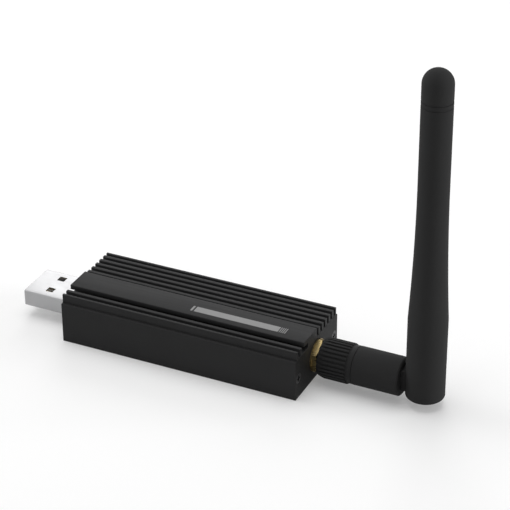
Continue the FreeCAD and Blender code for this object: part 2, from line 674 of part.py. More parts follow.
def make_usb_shell():
    """Folded steel shell with two windows above and two below, and two solder legs."""
    body = new_body("usb_shell")
    wide = "(plug_width / 2)"
    face = Drawing(body, "shell_outline", "YZ_Plane", PLUG_TIP).box(
        f"-{wide}", wide, BOARD_TOP, f"{BOARD_TOP} + plug_height")
    pad(body, "shell_block", face, f"{PLUG_REAR} - {PLUG_TIP}")
    half = number(wide)
    dress(body, "shell_corners", "PartDesign::Fillet",
          lambda edge, at: along(edge, 0) and near(abs(at.y), half), "shell_corner")
    inner = Drawing(body, "shell_hollow", "YZ_Plane", PLUG_TIP).box(
        f"-({wide} - shell_sheet)", f"{wide} - shell_sheet", SHELL_FLOOR,
        f"{BOARD_TOP} + plug_height - shell_sheet")
    pocket(body, "shell_hollow_cut", inner, f"{PLUG_REAR} - {PLUG_TIP}", "forward")
    inner_half = number(f"{wide} - shell_sheet")
    floor = number(SHELL_FLOOR)
    roof = number(f"{BOARD_TOP} + plug_height - shell_sheet")
    dress(body, "shell_inner_corners", "PartDesign::Fillet",
          lambda edge, at: along(edge, 0) and near(abs(at.y), inner_half) and (near(at.z, floor) or near(at.z, roof)),
          "shell_corner - shell_sheet")
    windows = Drawing(body, "shell_windows", "XY_Plane", f"{BOARD_TOP} - 1")
    for sign in ("", "-"):
        middle = f"{sign}window_spread"
        windows.box(f"{PLUG_TIP} + window_start", f"{PLUG_TIP} + window_start + window_size",
                    f"{middle} - window_size / 2", f"{middle} + window_size / 2")
    pocket(body, "shell_window_cut", windows, "plug_height + 2", "forward")
    rear = f"({PLUG_REAR} - leg_setback)"
    legs = Drawing(body, "shell_legs", "XY_Plane", f"{BOARD_TOP} + shell_corner")
    for sign in ("", "-"):
        inner_side = f"{sign}({wide} - shell_sheet)"
        outer_side = f"{sign}{wide}"
        low, high = (inner_side, outer_side) if sign == "" else (outer_side, inner_side)
        legs.box(f"{rear} - leg_width", rear, low, high)
    pad(body, "shell_leg_pad", legs, "leg_length + shell_corner", "back")
    return body


def make_usb_insulator():
    """Plastic block and tongue, with a channel for each contact."""
    body = new_body("usb_insulator")
    half = "(plug_width / 2 - shell_sheet - insert_gap)"
    step = f"({PLUG_TIP} + cavity_depth)"
    side = Drawing(body, "insulator_side", "XZ_Plane").outline([
        (f"{PLUG_TIP} + tongue_setback", SHELL_FLOOR),
        (PLUG_REAR, SHELL_FLOOR),
        (PLUG_REAR, f"{BOARD_TOP} + plug_height - shell_sheet - insert_gap"),
        (step, f"{BOARD_TOP} + plug_height - shell_sheet - insert_gap"),
        (step, TONGUE_TOP),
        (f"{PLUG_TIP} + tongue_setback", TONGUE_TOP),
    ])
    pad(body, "insulator_block", side, f"2 * {half}", "both")
    edge_half = number(half)
    floor = number(SHELL_FLOOR)
    roof = number(f"{BOARD_TOP} + plug_height - shell_sheet - insert_gap")
    dress(body, "insulator_edges", "PartDesign::Fillet",
          lambda edge, at: along(edge, 0) and near(abs(at.y), edge_half) and (near(at.z, floor) or near(at.z, roof)),
          "shell_corner - shell_sheet")
    channels = Drawing(body, "insulator_channels", "YZ_Plane", f"{PLUG_TIP} + tongue_setback")
    for place in ("contact_inner", "contact_outer"):
        for sign in ("", "-"):
            channels.box(f"{sign}{place} - contact_width / 2 - insert_gap",
                         f"{sign}{place} + contact_width / 2 + insert_gap",
                         CONTACT_FLOOR, f"{CONTACT_FLOOR} + contact_sheet + insert_gap")
    pocket(body, "insulator_channel_cut", channels, f"{PLUG_REAR} - {PLUG_TIP}", "forward")
    return body


def make_contact(name, place, setback):
    """One pair of contact strips, bent down behind the block and out to a soldered foot."""
    body = new_body(name)
    top = f"{CONTACT_FLOOR} + contact_sheet"
    bend = f"({PLUG_REAR} + tail_reach)"
    side = Drawing(body, f"{name}_side", "XZ_Plane").outline([
        (f"{PLUG_TIP} + {setback}", CONTACT_FLOOR),
        (f"{bend} - contact_sheet", CONTACT_FLOOR),
        (f"{bend} - contact_sheet", BOARD_TOP),
        (f"{bend} + tail_foot", BOARD_TOP),
        (f"{bend} + tail_foot", f"{BOARD_TOP} + contact_sheet"),
        (bend, f"{BOARD_TOP} + contact_sheet"),
        (bend, top),
        (f"{PLUG_TIP} + {setback}", top),
    ])
    pad(body, f"{name}_strip", side, "contact_width", "both")
    set_size(body, "Placement.Base.y", place)
    return group(f"{name}_pair", [body, mirror_piece(f"{name}_front", body, ALONG_Y)])


def make_usb_contacts():
    """Four contact strips: the outer pair reaches further than the inner pair."""
    outer = make_contact("outer_contact", "contact_outer", "contact_setback")
    inner = make_contact("inner_contact", "contact_inner", "(contact_setback + contact_stagger)")
    return group("usb_contacts", [outer, inner])


def axial_body(name):
    """Start a piece that is turned round the antenna jack's axis."""
    body = new_body(name)
    set_size(body, "Placement.Base.z", "axis_height")
    return body


def turned(name, corners):
    """Make a round piece from its outline, given as places along the axis and radii."""
    body = axial_body(name)
    turn(body, f"{name}_turned", Drawing(body, f"{name}_outline", "XZ_Plane").outline(corners))
    return body


def sleeve_corners(start, end, inner, outer):
    """Outline of a plain tube."""
    return [(start, inner), (end, inner), (end, outer), (start, outer)]


def make_jack_body():
    """Jack with a square block, four legs and a threaded barrel."""
    body = axial_body("jack_body")
    wide = "(jack_width / 2)"
    block_face = Drawing(body, "jack_block_face", "YZ_Plane", JACK_BACK).box(
        f"-{wide}", wide, f"{BOARD_TOP} - axis_height", "jack_top")
    pad(body, "jack_block", block_face, "jack_length")
    barrel = Drawing(body, "jack_barrel_face", "YZ_Plane", PLATE_INNER).circle("0", "0", "thread_size / 2")
    pad(body, "jack_barrel", barrel, f"{JACK_MOUTH} - {PLATE_INNER}")
    bore = Drawing(body, "jack_bore_outline", "XZ_Plane").outline([
        (JACK_BACK, "0"),
        (JACK_MOUTH, "0"),
        (JACK_MOUTH, "mouth_bore / 2"),
        (JACK_SEAT, "mouth_bore / 2"),
        (JACK_SEAT, "core_size / 2 + core_gap"),
        (JACK_BACK, "core_size / 2 + core_gap"),
    ])
    turn(body, "jack_bore", bore, kind="PartDesign::Groove")
    legs = Drawing(body, "jack_legs", "XY_Plane", f"{BOARD_TOP} - axis_height")
    for near_x in (f"{JACK_BACK} + jack_leg_inset", f"{PLATE_INNER} - jack_leg_inset - jack_leg"):
        for sign in ("", "-"):
            middle = f"{sign}(jack_width / 2 - jack_leg_inset - jack_leg / 2)"
            legs.box(near_x, f"{near_x} + jack_leg", f"{middle} - jack_leg / 2", f"{middle} + jack_leg / 2")
    pad(body, "jack_leg_pad", legs, "leg_length", "back")
    return body


def make_jack_inner():
    """Plastic core and socket contact of the jack."""
    core = turned("jack_insulator", sleeve_corners(
        JACK_BACK, JACK_SEAT, "socket_size / 2 + core_gap", "core_size / 2"))
    tail = f"({JACK_BACK} - socket_tail)"
    hole = f"({JACK_SEAT} - pin_engage - flange_gap)"
    socket = turned("jack_contact", [
        (tail, "0"),
        (hole, "0"),
        (hole, "socket_bore / 2"),
        (JACK_SEAT, "socket_bore / 2"),
        (JACK_SEAT, "socket_size / 2"),
        (tail, "socket_size / 2"),
    ])
    return [core, socket]


def make_lock_washer():
    """Flat lock washer under the jack nut."""
    return turned("lock_washer", sleeve_corners(
        CASE_END, HEX_START, "thread_size / 2 + thread_gap", "washer_size / 2"))


def make_jack_nut():
    """Six-sided nut."""
    body = axial_body("jack_nut")
    corner = "(hex_across / sqrt(3))"
    face = Drawing(body, "hex_face", "YZ_Plane", HEX_START).outline([
        ("hex_across / 2", f"-{corner} / 2"),
        ("hex_across / 2", f"{corner} / 2"),
        ("0", corner),
        ("-hex_across / 2", f"{corner} / 2"),
        ("-hex_across / 2", f"-{corner} / 2"),
        ("0", f"-{corner}"),
    ]).circle("0", "0", "thread_size / 2 + thread_gap")
    pad(body, "hex_plate", face, "hex_thick")
    return body


def make_coupling_nut():
    """Coupling nut with a ribbed grip, a cone in front and a smooth collar behind."""
    body = axial_body("coupling_nut")
    root = "(rib_radius - rib_depth)"
    slope = "(nut_cone / (rib_radius - nut_front))"
    root_start = f"({NUT_START} + ({root} - nut_front) * {slope})"
    outline = Drawing(body, "nut_outline", "XZ_Plane").outline([
        (NUT_START, "ring_radius + core_gap"),
        (BACK_WALL, "ring_radius + core_gap"),
        (BACK_WALL, "ferrule_rear / 2 + 2 * turn_gap"),
        (NUT_END, "ferrule_rear / 2 + 2 * turn_gap"),
        (NUT_END, "collar_radius"),
        (NECK_END, "collar_radius"),
        (NECK_END, root),
        (root_start, root),
        (NUT_START, "nut_front"),
    ])
    turn(body, "nut_turned", outline)
    side = Drawing(body, "rib_side", "XZ_Plane").outline([
        (f"{root_start} - rib_depth / 4", f"{root} - rib_depth / 2"),
        (RIB_END, f"{root} - rib_depth / 2"),
        (RIB_END, "rib_radius"),
        (CONE_END, "rib_radius"),
    ])
    rib = pad(body, "rib", side, "rib_width", "both")
    repeat_round(body, "rib_pattern", rib, "rib_count")
    DOC.recompute()
    return body


def make_coupling_insert():
    """Threaded ring pressed into the coupling nut, with a lip behind the ferrule's flange."""
    lip = f"({FLANGE_END} + flange_gap)"
    return turned("coupling_insert", [
        (f"{NUT_START} + nut_gap", "thread_size / 2 + thread_gap"),
        (lip, "thread_size / 2 + thread_gap"),
        (lip, "ferrule_rear / 2 + turn_gap"),
        (f"{lip} + ring_lip", "ferrule_rear / 2 + turn_gap"),
        (f"{lip} + ring_lip", "ring_radius"),
        (f"{NUT_START} + nut_gap", "ring_radius"),
    ])


def make_ferrule():
    """Plug ferrule with its plastic core and pin."""
    front = f"({JACK_SEAT} + ferrule_seat)"
    ferrule = turned("ferrule", [
        (front, "ferrule_front / 2 - ferrule_wall"),
        (FERRULE_END, "ferrule_front / 2 - ferrule_wall"),
        (FERRULE_END, "ferrule_rear / 2"),
        (FLANGE_END, "ferrule_rear / 2"),
        (FLANGE_END, "flange_size / 2"),
        (FLANGE_START, "flange_size / 2"),
        (FLANGE_START, "ferrule_front / 2"),
        (front, "ferrule_front / 2"),
    ])
    core = turned("ferrule_insulator", sleeve_corners(
        front, f"{FERRULE_END} - ferrule_seat", "socket_size / 2 + core_gap",
        "ferrule_front / 2 - ferrule_wall - core_gap"))
    tip = f"({JACK_SEAT} - pin_engage)"
    pin = turned("centre_pin", [
        (tip, "0"),
        (FERRULE_END, "0"),
        (FERRULE_END, "socket_size / 2"),
        (front, "socket_size / 2"),
        (front, "pin_size / 2"),
        (tip, "pin_size / 2"),
    ])
    return [ferrule, core, pin]


def make_swivel_barrel():
    """Barrel with the hinge tongue and its two pivots."""
    body = axial_body("swivel_barrel")
    outline = Drawing(body, "barrel_outline", "XZ_Plane").outline([
        (FERRULE_END, "0"),
        (f"{BARREL_END}", "0"),
        (f"{BARREL_END}", "barrel_radius - barrel_chamfer"),
        (f"{BARREL_END} - barrel_chamfer", "barrel_radius"),
        (BARREL_START, "barrel_radius"),
        (BARREL_START, "ferrule_rear / 2 + insert_gap"),
        (FERRULE_END, "ferrule_rear / 2 + insert_gap"),
    ])
    turn(body, "barrel_turned", outline)
    tongue = Drawing(body, "tongue_side", "XZ_Plane").outline([
        (f"{BARREL_END} - barrel_chamfer", "-hinge_radius"),
        (HINGE_X, "-hinge_radius", "centre_x", HINGE_X, 1),
        (HINGE_X, "hinge_radius"),
        (f"{BARREL_END} - barrel_chamfer", "hinge_radius"),
    ])
    pad(body, "tongue_block", tongue, "hinge_width", "both")
    pivots = Drawing(body, "trunnion_side", "XZ_Plane").circle(HINGE_X, "0", "trunnion_radius")
    pad(body, "trunnions", pivots, "hinge_width + 2 * trunnion_length", "both")
    lead = Drawing(body, "barrel_lead_outline", "XZ_Plane").outline([
        (FERRULE_END, "0"),
        (f"{BARREL_END} - barrel_chamfer", "0"),
        (f"{BARREL_END} - barrel_chamfer", "lead_radius + lead_gap"),
        (FERRULE_END, "lead_radius + lead_gap"),
    ])
    turn(body, "barrel_lead_bore", lead, kind="PartDesign::Groove")
    return body


def make_barrel_lead():
    """Coaxial lead between the ferrule and the hinge."""
    return turned("barrel_lead", [
        (FERRULE_END, "0"),
        (f"{BARREL_END} - barrel_chamfer", "0"),
        (f"{BARREL_END} - barrel_chamfer", "lead_radius"),
        (FERRULE_END, "lead_radius"),
    ])


def rod_body(name):
    """Start a piece that is turned round the rod's upright axis, measured from the hinge axis."""
    body = new_body(name)
    set_size(body, "Placement.Base.x", HINGE_X)
    set_size(body, "Placement.Base.z", "axis_height")
    return body


def rod_turned(name, corners):
    """Make a round piece of the rod from its outline, given as radii and heights."""
    body = rod_body(name)
    turn(body, f"{name}_turned", Drawing(body, f"{name}_outline", "XZ_Plane").outline(corners), "V_Axis")
    return body


def make_whip_sleeve():
    """Rod: straight foot, hollow flare and slim stem, with a forked foot for the hinge tongue."""
    body = rod_body("whip_sleeve")
    outline = Drawing(body, "rod_outline", "XZ_Plane").outline([
        ("0", "-foot_drop"),
        ("foot_radius - foot_bevel", "-foot_drop"),
        ("foot_radius", "-foot_drop + foot_bevel"),
        ("foot_radius", FOOT_TOP, "centre_y", FLARE_TOP, -1),
        ("stem_radius", FLARE_TOP),
        ("stem_radius", TIP_JOINT),
        ("bore_radius", TIP_JOINT),
        ("bore_radius", "bore_start"),
        ("lead_radius + lead_gap", "bore_start"),
        ("lead_radius + lead_gap", "hinge_radius"),
        ("0", "hinge_radius"),
    ])
    turn(body, "rod_turned", outline, "V_Axis")
    slot = Drawing(body, "slot_side", "XZ_Plane").outline([
        ("-foot_radius - 1", "-foot_drop - 1"),
        (SLOT_RADIUS, "-foot_drop - 1"),
        (SLOT_RADIUS, "0", "centre_x", "0", 1),
        ("0", SLOT_RADIUS),
        ("-foot_radius - 1", SLOT_RADIUS),
    ])
    pocket(body, "slot_cut", slot, f"2 * {SLOT_HALF}", "both")
    dimples = Drawing(body, "dimple_side", "XZ_Plane").circle("0", "0", "trunnion_radius + pivot_gap")
    pocket(body, "dimple_cut", dimples, "hinge_width + 2 * (trunnion_length + hinge_gap)", "both")
    return body


def make_whip_tip():
    """Domed tip on a spigot, the dome in four bands."""
    bands = [math.pi * step / 8 for step in range(4)]
    dome = [(f"stem_radius * {math.cos(turn):.6f}", f"{DOME_START} + stem_radius * {math.sin(turn):.6f}")
            for turn in bands]
    return rod_turned("whip_tip", [
        ("0", f"{TIP_JOINT} - spigot_length"),
        ("bore_radius - spigot_gap", f"{TIP_JOINT} - spigot_length"),
        ("bore_radius - spigot_gap", TIP_JOINT),
        ("stem_radius", TIP_JOINT),
        *dome,
        ("0", f"{DOME_START} + stem_radius"),
    ])


def make_radiators():
    """Coaxial lead, crimped tube and wire inside the rod."""
    lead = rod_turned("whip_lead", [
        ("0", f"{SLOT_RADIUS} + slot_gap"),
        ("lead_radius", f"{SLOT_RADIUS} + slot_gap"),
        ("lead_radius", LEAD_TOP),
        ("0", LEAD_TOP),
    ])
    bottom = "(bore_start + dipole_start)"
    tube = rod_turned("dipole_tube", [
        ("dipole_outer - dipole_sheet", bottom),
        ("dipole_outer", bottom),
        ("dipole_outer", LEAD_TOP),
        ("lead_radius + insert_gap", LEAD_TOP),
        ("lead_radius + insert_gap", f"{LEAD_TOP} - dipole_crimp"),
        ("dipole_outer - dipole_sheet", f"{LEAD_TOP} - dipole_crimp"),
    ])
    wire = rod_turned("dipole_wire", [
        ("0", LEAD_TOP),
        ("wire_radius", LEAD_TOP),
        ("wire_radius", f"{LEAD_TOP} + wire_length"),
        ("0", f"{LEAD_TOP} + wire_length"),
    ])
    return [lead, tube, wire]


def make_board_pieces():
    """Shield can, chips and small pieces soldered to the board's top."""
    can = DOC.addObject("Part::Cut", "shield_can")
    can.Label = "shield_can"
    can.Base = block("can_outer", (CAN_X, "0"), ("can_length", "can_width", "can_height"), BOARD_TOP)
    can.Tool = block("can_inner", (CAN_X, "0"),
                     ("can_length - 2 * can_sheet", "can_width - 2 * can_sheet", "can_height"),
                     f"{BOARD_TOP} - can_sheet")
    radio = block("radio_chip", (CAN_X, "0"), ("radio_size", "radio_size", "radio_height"), BOARD_TOP)
    bridge = block("bridge_chip", (f"{BRIDGE_X}", "0"), ("bridge_size", "bridge_size", "bridge_height"), BOARD_TOP)
    regulator = block("regulator", (f"{BRIDGE_X}", "-bridge_size"),
                      ("2 * small_length", "small_length", "chip_height"), BOARD_TOP)
    crystal = block("crystal", (f"{BRIDGE_X} + bridge_size", "bridge_size"),
                    ("crystal_length", "crystal_width", "crystal_height"), BOARD_TOP)
    lights = [block(f"light_{index}", (f"{BRIDGE_X} - bridge_size + {index} * small_pitch", "bridge_size + small_pitch"),
                    ("small_length", "small_width", "small_width"), BOARD_TOP) for index in range(2)]
    small = [block(f"capacitor_{index}",
                   (f"{BRIDGE_X} + bridge_size + small_pitch + {index // 2} * 1.5 * small_pitch",
                    f"{index % 2} * small_pitch - small_pitch"),
                   ("small_length", "small_width", "small_width"), BOARD_TOP) for index in range(8)]
    return [can, radio, bridge, regulator, crystal, group("status_leds", lights), group("board_capacitors", small)]


def make_all():
    """Make every piece of the stick."""
    pieces = [make_finned_cover(), make_case_tray()]
    pieces += make_plates()
    pieces += [make_case_screws(), make_circuit_board()]
    pieces += [make_usb_shell(), make_usb_insulator(), make_usb_contacts()]
    pieces += [make_jack_body()] + make_jack_inner() + [make_lock_washer(), make_jack_nut()]
    pieces += [make_coupling_nut(), make_coupling_insert()] + make_ferrule()
    pieces += [make_swivel_barrel(), make_barrel_lead(), make_whip_sleeve(), make_whip_tip()]
    pieces += make_radiators() + make_board_pieces()
    return pieces


def check(pieces):
    """Stop when an object failed or a piece isn't a sound solid."""
    for item in DOC.Objects:
        bad = [word for word in item.State if word in ("Invalid", "Error")]
        if bad:
            raise ValueError(f"{item.Name} is {bad}")
    for piece in pieces:
        if piece.Shape.isNull() or not piece.Shape.isValid():
            raise ValueError(f"{piece.Label} has no sound shape")


def export(pieces):
    """Write one file for each piece."""
    os.makedirs("parts", exist_ok=True)
    for piece in pieces:
        piece.Shape.exportStep(f"parts/{piece.Label}.step")
        print(f"{piece.Label:20s} {len(piece.Shape.Solids):3d} solids {piece.Shape.Volume:10.2f} mm3")


PIECES = make_all()
DOC.recompute()
check(PIECES)
export(PIECES)
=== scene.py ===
"""Looks of a finned radio stick with a hinged antenna, dressed around its solid model."""

import json
import logging
import math
from dataclasses import dataclass
from enum import Enum

import bmesh
import bpy
from mathutils import Matrix, Vector


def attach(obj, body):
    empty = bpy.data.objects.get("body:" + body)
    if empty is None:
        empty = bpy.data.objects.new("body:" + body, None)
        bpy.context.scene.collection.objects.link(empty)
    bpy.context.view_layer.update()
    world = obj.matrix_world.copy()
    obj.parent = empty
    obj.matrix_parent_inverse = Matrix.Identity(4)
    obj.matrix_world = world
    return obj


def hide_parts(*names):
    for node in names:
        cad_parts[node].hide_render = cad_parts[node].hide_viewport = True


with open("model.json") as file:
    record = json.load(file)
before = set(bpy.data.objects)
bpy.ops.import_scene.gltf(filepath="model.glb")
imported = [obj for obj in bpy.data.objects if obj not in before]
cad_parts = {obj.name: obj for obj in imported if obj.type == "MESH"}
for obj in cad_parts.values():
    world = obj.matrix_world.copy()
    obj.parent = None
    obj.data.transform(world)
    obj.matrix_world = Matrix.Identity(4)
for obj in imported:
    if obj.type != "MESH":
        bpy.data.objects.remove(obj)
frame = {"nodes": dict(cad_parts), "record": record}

log = logging.getLogger("radio_stick")
MM = 0.001
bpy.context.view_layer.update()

Material = bpy.types.Material
Piece = bpy.types.Object
Socket = bpy.types.NodeSocket
Point2 = tuple[float, float]
Point3 = tuple[float, float, float]
Span4 = tuple[float, float, float, float]
Corner = tuple[float, ...]
Colour = tuple[float, float, float]
Face = tuple[int, ...]
Value = float | tuple[float, ...] | Socket | Material | None


class Axis(Enum):
    """The line that a piece is turned round or drawn out along."""

    STICK = "along X, through the antenna jack"
    HINGE = "along Y, through the antenna's hinge"
    ROD = "along Z, through the rod"

    def point(self, along: float, one: float, other: float) -> Point3:
        """Give a point in space.

        Args:
            along: Its place along this line.
            one: Its place across, along the first of the two other axes.
            other: Its place across, along the second of them.

        Returns:
            The point's X, Y and Z.
        """
        if self is Axis.STICK:
            return along, one, other
        if self is Axis.HINGE:
            return one, along, other
        return one, other, along


class Bench:
    """Adds and joins the nodes of one tree."""

    def __init__(self, tree: bpy.types.NodeTree) -> None:
        """Keep the tree."""
        self.tree = tree

    def put(self, target: Socket, value: Value) -> None:
        """Fill an input.

        Args:
            target: The input's socket.
            value: A socket to join to it, or what it is set to. None leaves it as it is.
        """
        if isinstance(value, Socket):
            self.tree.links.new(value, target)
        elif isinstance(value, tuple) and target.type == "RGBA":
            target.default_value = (*value, 1.0)
        elif value is not None:
            target.default_value = value

    def fill(self, node: bpy.types.Node, **values: Value) -> None:
        """Fill several inputs of a node, their names written with underscores for spaces."""
        for word, value in values.items():
            self.put(node.inputs[word.replace("_", " ")], value)

    def add(self, kind: str, **values: Value) -> bpy.types.Node:
        """Add a node.

        Args:
            kind: The node's type.
            values: Its inputs, as fill takes them.

        Returns:
            The node.
        """
        node = self.tree.nodes.new(kind)
        self.fill(node, **values)
        return node

    def maths(self, operation: str, *values: Value) -> Socket:
        """Add a Math node.

        Args:
            operation: What it does with its inputs.
            values: The inputs in their order.

        Returns:
            The socket of the result.
        """
        node = self.add("ShaderNodeMath")
        node.operation = operation
        for target, value in zip(node.inputs, values):
            self.put(target, value)
        return node.outputs[0]


def bare_material(name: str) -> Material:
    """Make a material whose tree is empty.

    Args:
        name: The material's name.

    Returns:
        The material.
    """
    material = bpy.data.materials.new(name)
    material.use_nodes = True
    material.node_tree.nodes.clear()
    return material


class MaterialBench(Bench):
    """Builds one material from patterns on its piece's own coordinates."""

    NOISE_RANGE = (0.3, 0.7)

    def __init__(self, name: str) -> None:
        """Start a material with a Principled shader.

        Args:
            name: The material's name.
        """
        self.material = bare_material(name)
        super().__init__(self.material.node_tree)
        self.shader = self.add("ShaderNodeBsdfPrincipled")
        self.add("ShaderNodeOutputMaterial", Surface=self.shader.outputs[0])
        self.place = self.add("ShaderNodeTexCoord").outputs["Object"]

    def noise(self, scale: Point3, detail: float = 3.0, rough: float = 0.55) -> Socket:
        """Add a noise pattern.

        Args:
            scale: Repeats per metre along X, Y and Z.
            detail: Octaves of the noise.
            rough: Weight of the finer octaves.

        Returns:
            The noise's value socket.
        """
        mapping = self.add("ShaderNodeMapping", Vector=self.place, Scale=scale)
        pattern = self.add("ShaderNodeTexNoise", Vector=mapping.outputs["Vector"], Scale=1.0, Detail=detail,
                           Roughness=rough)
        return pattern.outputs["Fac"]

    def between(self, value: Socket, low: float, high: float) -> Socket:
        """Spread a noise's usual values over a new range.

        Args:
            value: The noise.
            low: What its low values become.
            high: What its high values become.

        Returns:
            The socket of the new value.
        """
        least, most = self.NOISE_RANGE
        node = self.add("ShaderNodeMapRange", Value=value, From_Min=least, From_Max=most, To_Min=low,
                        To_Max=high)
        return node.outputs["Result"]

    def blend(self, value: Socket, first: Colour | Socket, second: Colour | Socket) -> Socket:
        """Mix two colours by a value.

        Args:
            value: 0 gives the first colour and 1 the second.
            first: A colour, or the socket of one.
            second: The same.

        Returns:
            The socket of the mixed colour.
        """
        node = self.tree.nodes.new("ShaderNodeMix")
        node.data_type = "RGBA"
        self.fill(node, Factor=value)
        colours = [entry for entry in node.inputs if entry.type == "RGBA"]
        for target, colour in zip(colours, (first, second)):
            self.put(target, colour)
        return next(entry for entry in node.outputs if entry.type == "RGBA")

    def beyond(self, place: float) -> Socket:
        """Tell the ends of the stick from its middle.

        Args:
            place: Distance from the middle along X, in metres.

        Returns:
            The socket of a value, 1 beyond that distance and 0 within it.
        """
        parts = self.add("ShaderNodeSeparateXYZ", Vector=self.place)
        return self.maths("GREATER_THAN", self.maths("ABSOLUTE", parts.outputs["X"]), place)

    def bump(self, value: Socket, height: float, strength: float, below: Socket | None = None) -> Socket:
        """Raise the surface by a value.

        Args:
            value: The height pattern.
            height: Full height in metres.
            strength: Share of the effect.
            below: Normal of a bump that this one lies on.

        Returns:
            The normal's socket.
        """
        node = self.add("ShaderNodeBump", Height=value, Distance=height, Strength=strength, Normal=below)
        return node.outputs["Normal"]

    def dress(self, colour: Socket, roughness: Socket, normal: Socket) -> Material:
        """Join the shader's three patterned inputs and give the material."""
        self.fill(self.shader, Base_Color=colour, Roughness=roughness, Normal=normal)
        return self.material


@dataclass(frozen=True)
class BlastedFinish:
    """Anodised aluminium: blasted grain over faint lines from the extrusion."""

    slot: str
    dark: Colour = (0.0285, 0.0285, 0.029)
    light: Colour = (0.0345, 0.0345, 0.035)
    smooth: float = 0.46
    coarse: float = 0.58
    level: float = 0.05
    patches: Point3 = (90.0, 90.0, 90.0)
    lines: Point3 = (35.0, 2600.0, 2600.0)
    grain: Point3 = (7500.0, 7500.0, 7500.0)
    line_bump: Point2 = (0.00001, 0.25)
    grain_bump: Point2 = (0.00002, 0.35)

    def build(self) -> Material:
        """Make the material.

        Returns:
            The material.
        """
        bench = MaterialBench(self.slot)
        bench.fill(bench.shader, Metallic=0.0, Specular_IOR_Level=self.level)
        lines = bench.noise(self.lines)
        drawn = bench.bump(lines, *self.line_bump)
        normal = bench.bump(bench.noise(self.grain, detail=2.0), *self.grain_bump, drawn)
        colour = self.tint(bench, bench.noise(self.patches, detail=4.0))
        return bench.dress(colour, bench.between(lines, self.smooth, self.coarse), normal)

    def tint(self, bench: MaterialBench, patches: Socket) -> Socket:
        """Colour the surface in soft patches."""
        return bench.blend(patches, self.dark, self.light)


@dataclass(frozen=True)
class ShadedEndPlateFinish(BlastedFinish):
    """Anodised plate with painted shade: its flat outer end faces are coloured darker than its edges,
    standing in for the shade that falls on them.
    """

    # The darker colours are painted shade on the outer end faces; face is how far from the middle along X
    # that shade begins.
    painted_shade_dark: Colour = (0.019, 0.019, 0.0192)
    painted_shade_light: Colour = (0.024, 0.024, 0.0242)
    face: float = 0.03284

    def tint(self, bench: MaterialBench, patches: Socket) -> Socket:
        """Colour the edges like the rest of the case and paint shade on the outer faces as a darker colour.
        """
        # Painted shade: beyond face along X, the darker colours replace the case's own.
        faces = bench.blend(patches, self.painted_shade_dark, self.painted_shade_light)
        return bench.blend(bench.beyond(self.face), super().tint(bench, patches), faces)


@dataclass(frozen=True)
class MouldedFinish:
    """Moulded plastic or rubber with an even, fine grain."""

    slot: str
    dark: Colour = (0.03, 0.03, 0.0303)
    light: Colour = (0.036, 0.036, 0.0363)
    smooth: float = 0.5
    coarse: float = 0.6
    level: float = 0.05
    clouds: Point3 = (140.0, 140.0, 60.0)
    grain: Point3 = (5200.0, 5200.0, 5200.0)
    grain_bump: Point2 = (0.00002, 0.4)

    def build(self) -> Material:
        """Make the material.

        Returns:
            The material.
        """
        bench = MaterialBench(self.slot)
        bench.fill(bench.shader, Metallic=0.0, Specular_IOR_Level=self.level)
        clouds = bench.noise(self.clouds, detail=4.0)
        normal = bench.bump(bench.noise(self.grain, rough=0.6), *self.grain_bump)
        colour = bench.blend(clouds, self.dark, self.light)
        return bench.dress(colour, bench.between(clouds, self.smooth, self.coarse), normal)


@dataclass(frozen=True)
class MetalFinish:
    """Bare or plated metal with fine working marks."""

    slot: str
    dark: Colour
    light: Colour
    smooth: float = 0.18
    coarse: float = 0.34
    tarnish: Point3 = (260.0, 260.0, 260.0)
    marks: Point3 = (300.0, 5000.0, 5000.0)
    mark_bump: Point2 = (0.000006, 0.3)

    def build(self) -> Material:
        """Make the material.

        Returns:
            The material.
        """
        bench = MaterialBench(self.slot)
        bench.fill(bench.shader, Metallic=1.0)
        marks = bench.noise(self.marks)
        colour = bench.blend(bench.noise(self.tarnish, detail=4.0), self.dark, self.light)
        normal = bench.bump(marks, *self.mark_bump)
        return bench.dress(colour, bench.between(marks, self.smooth, self.coarse), normal)


Finish = BlastedFinish | MouldedFinish | MetalFinish


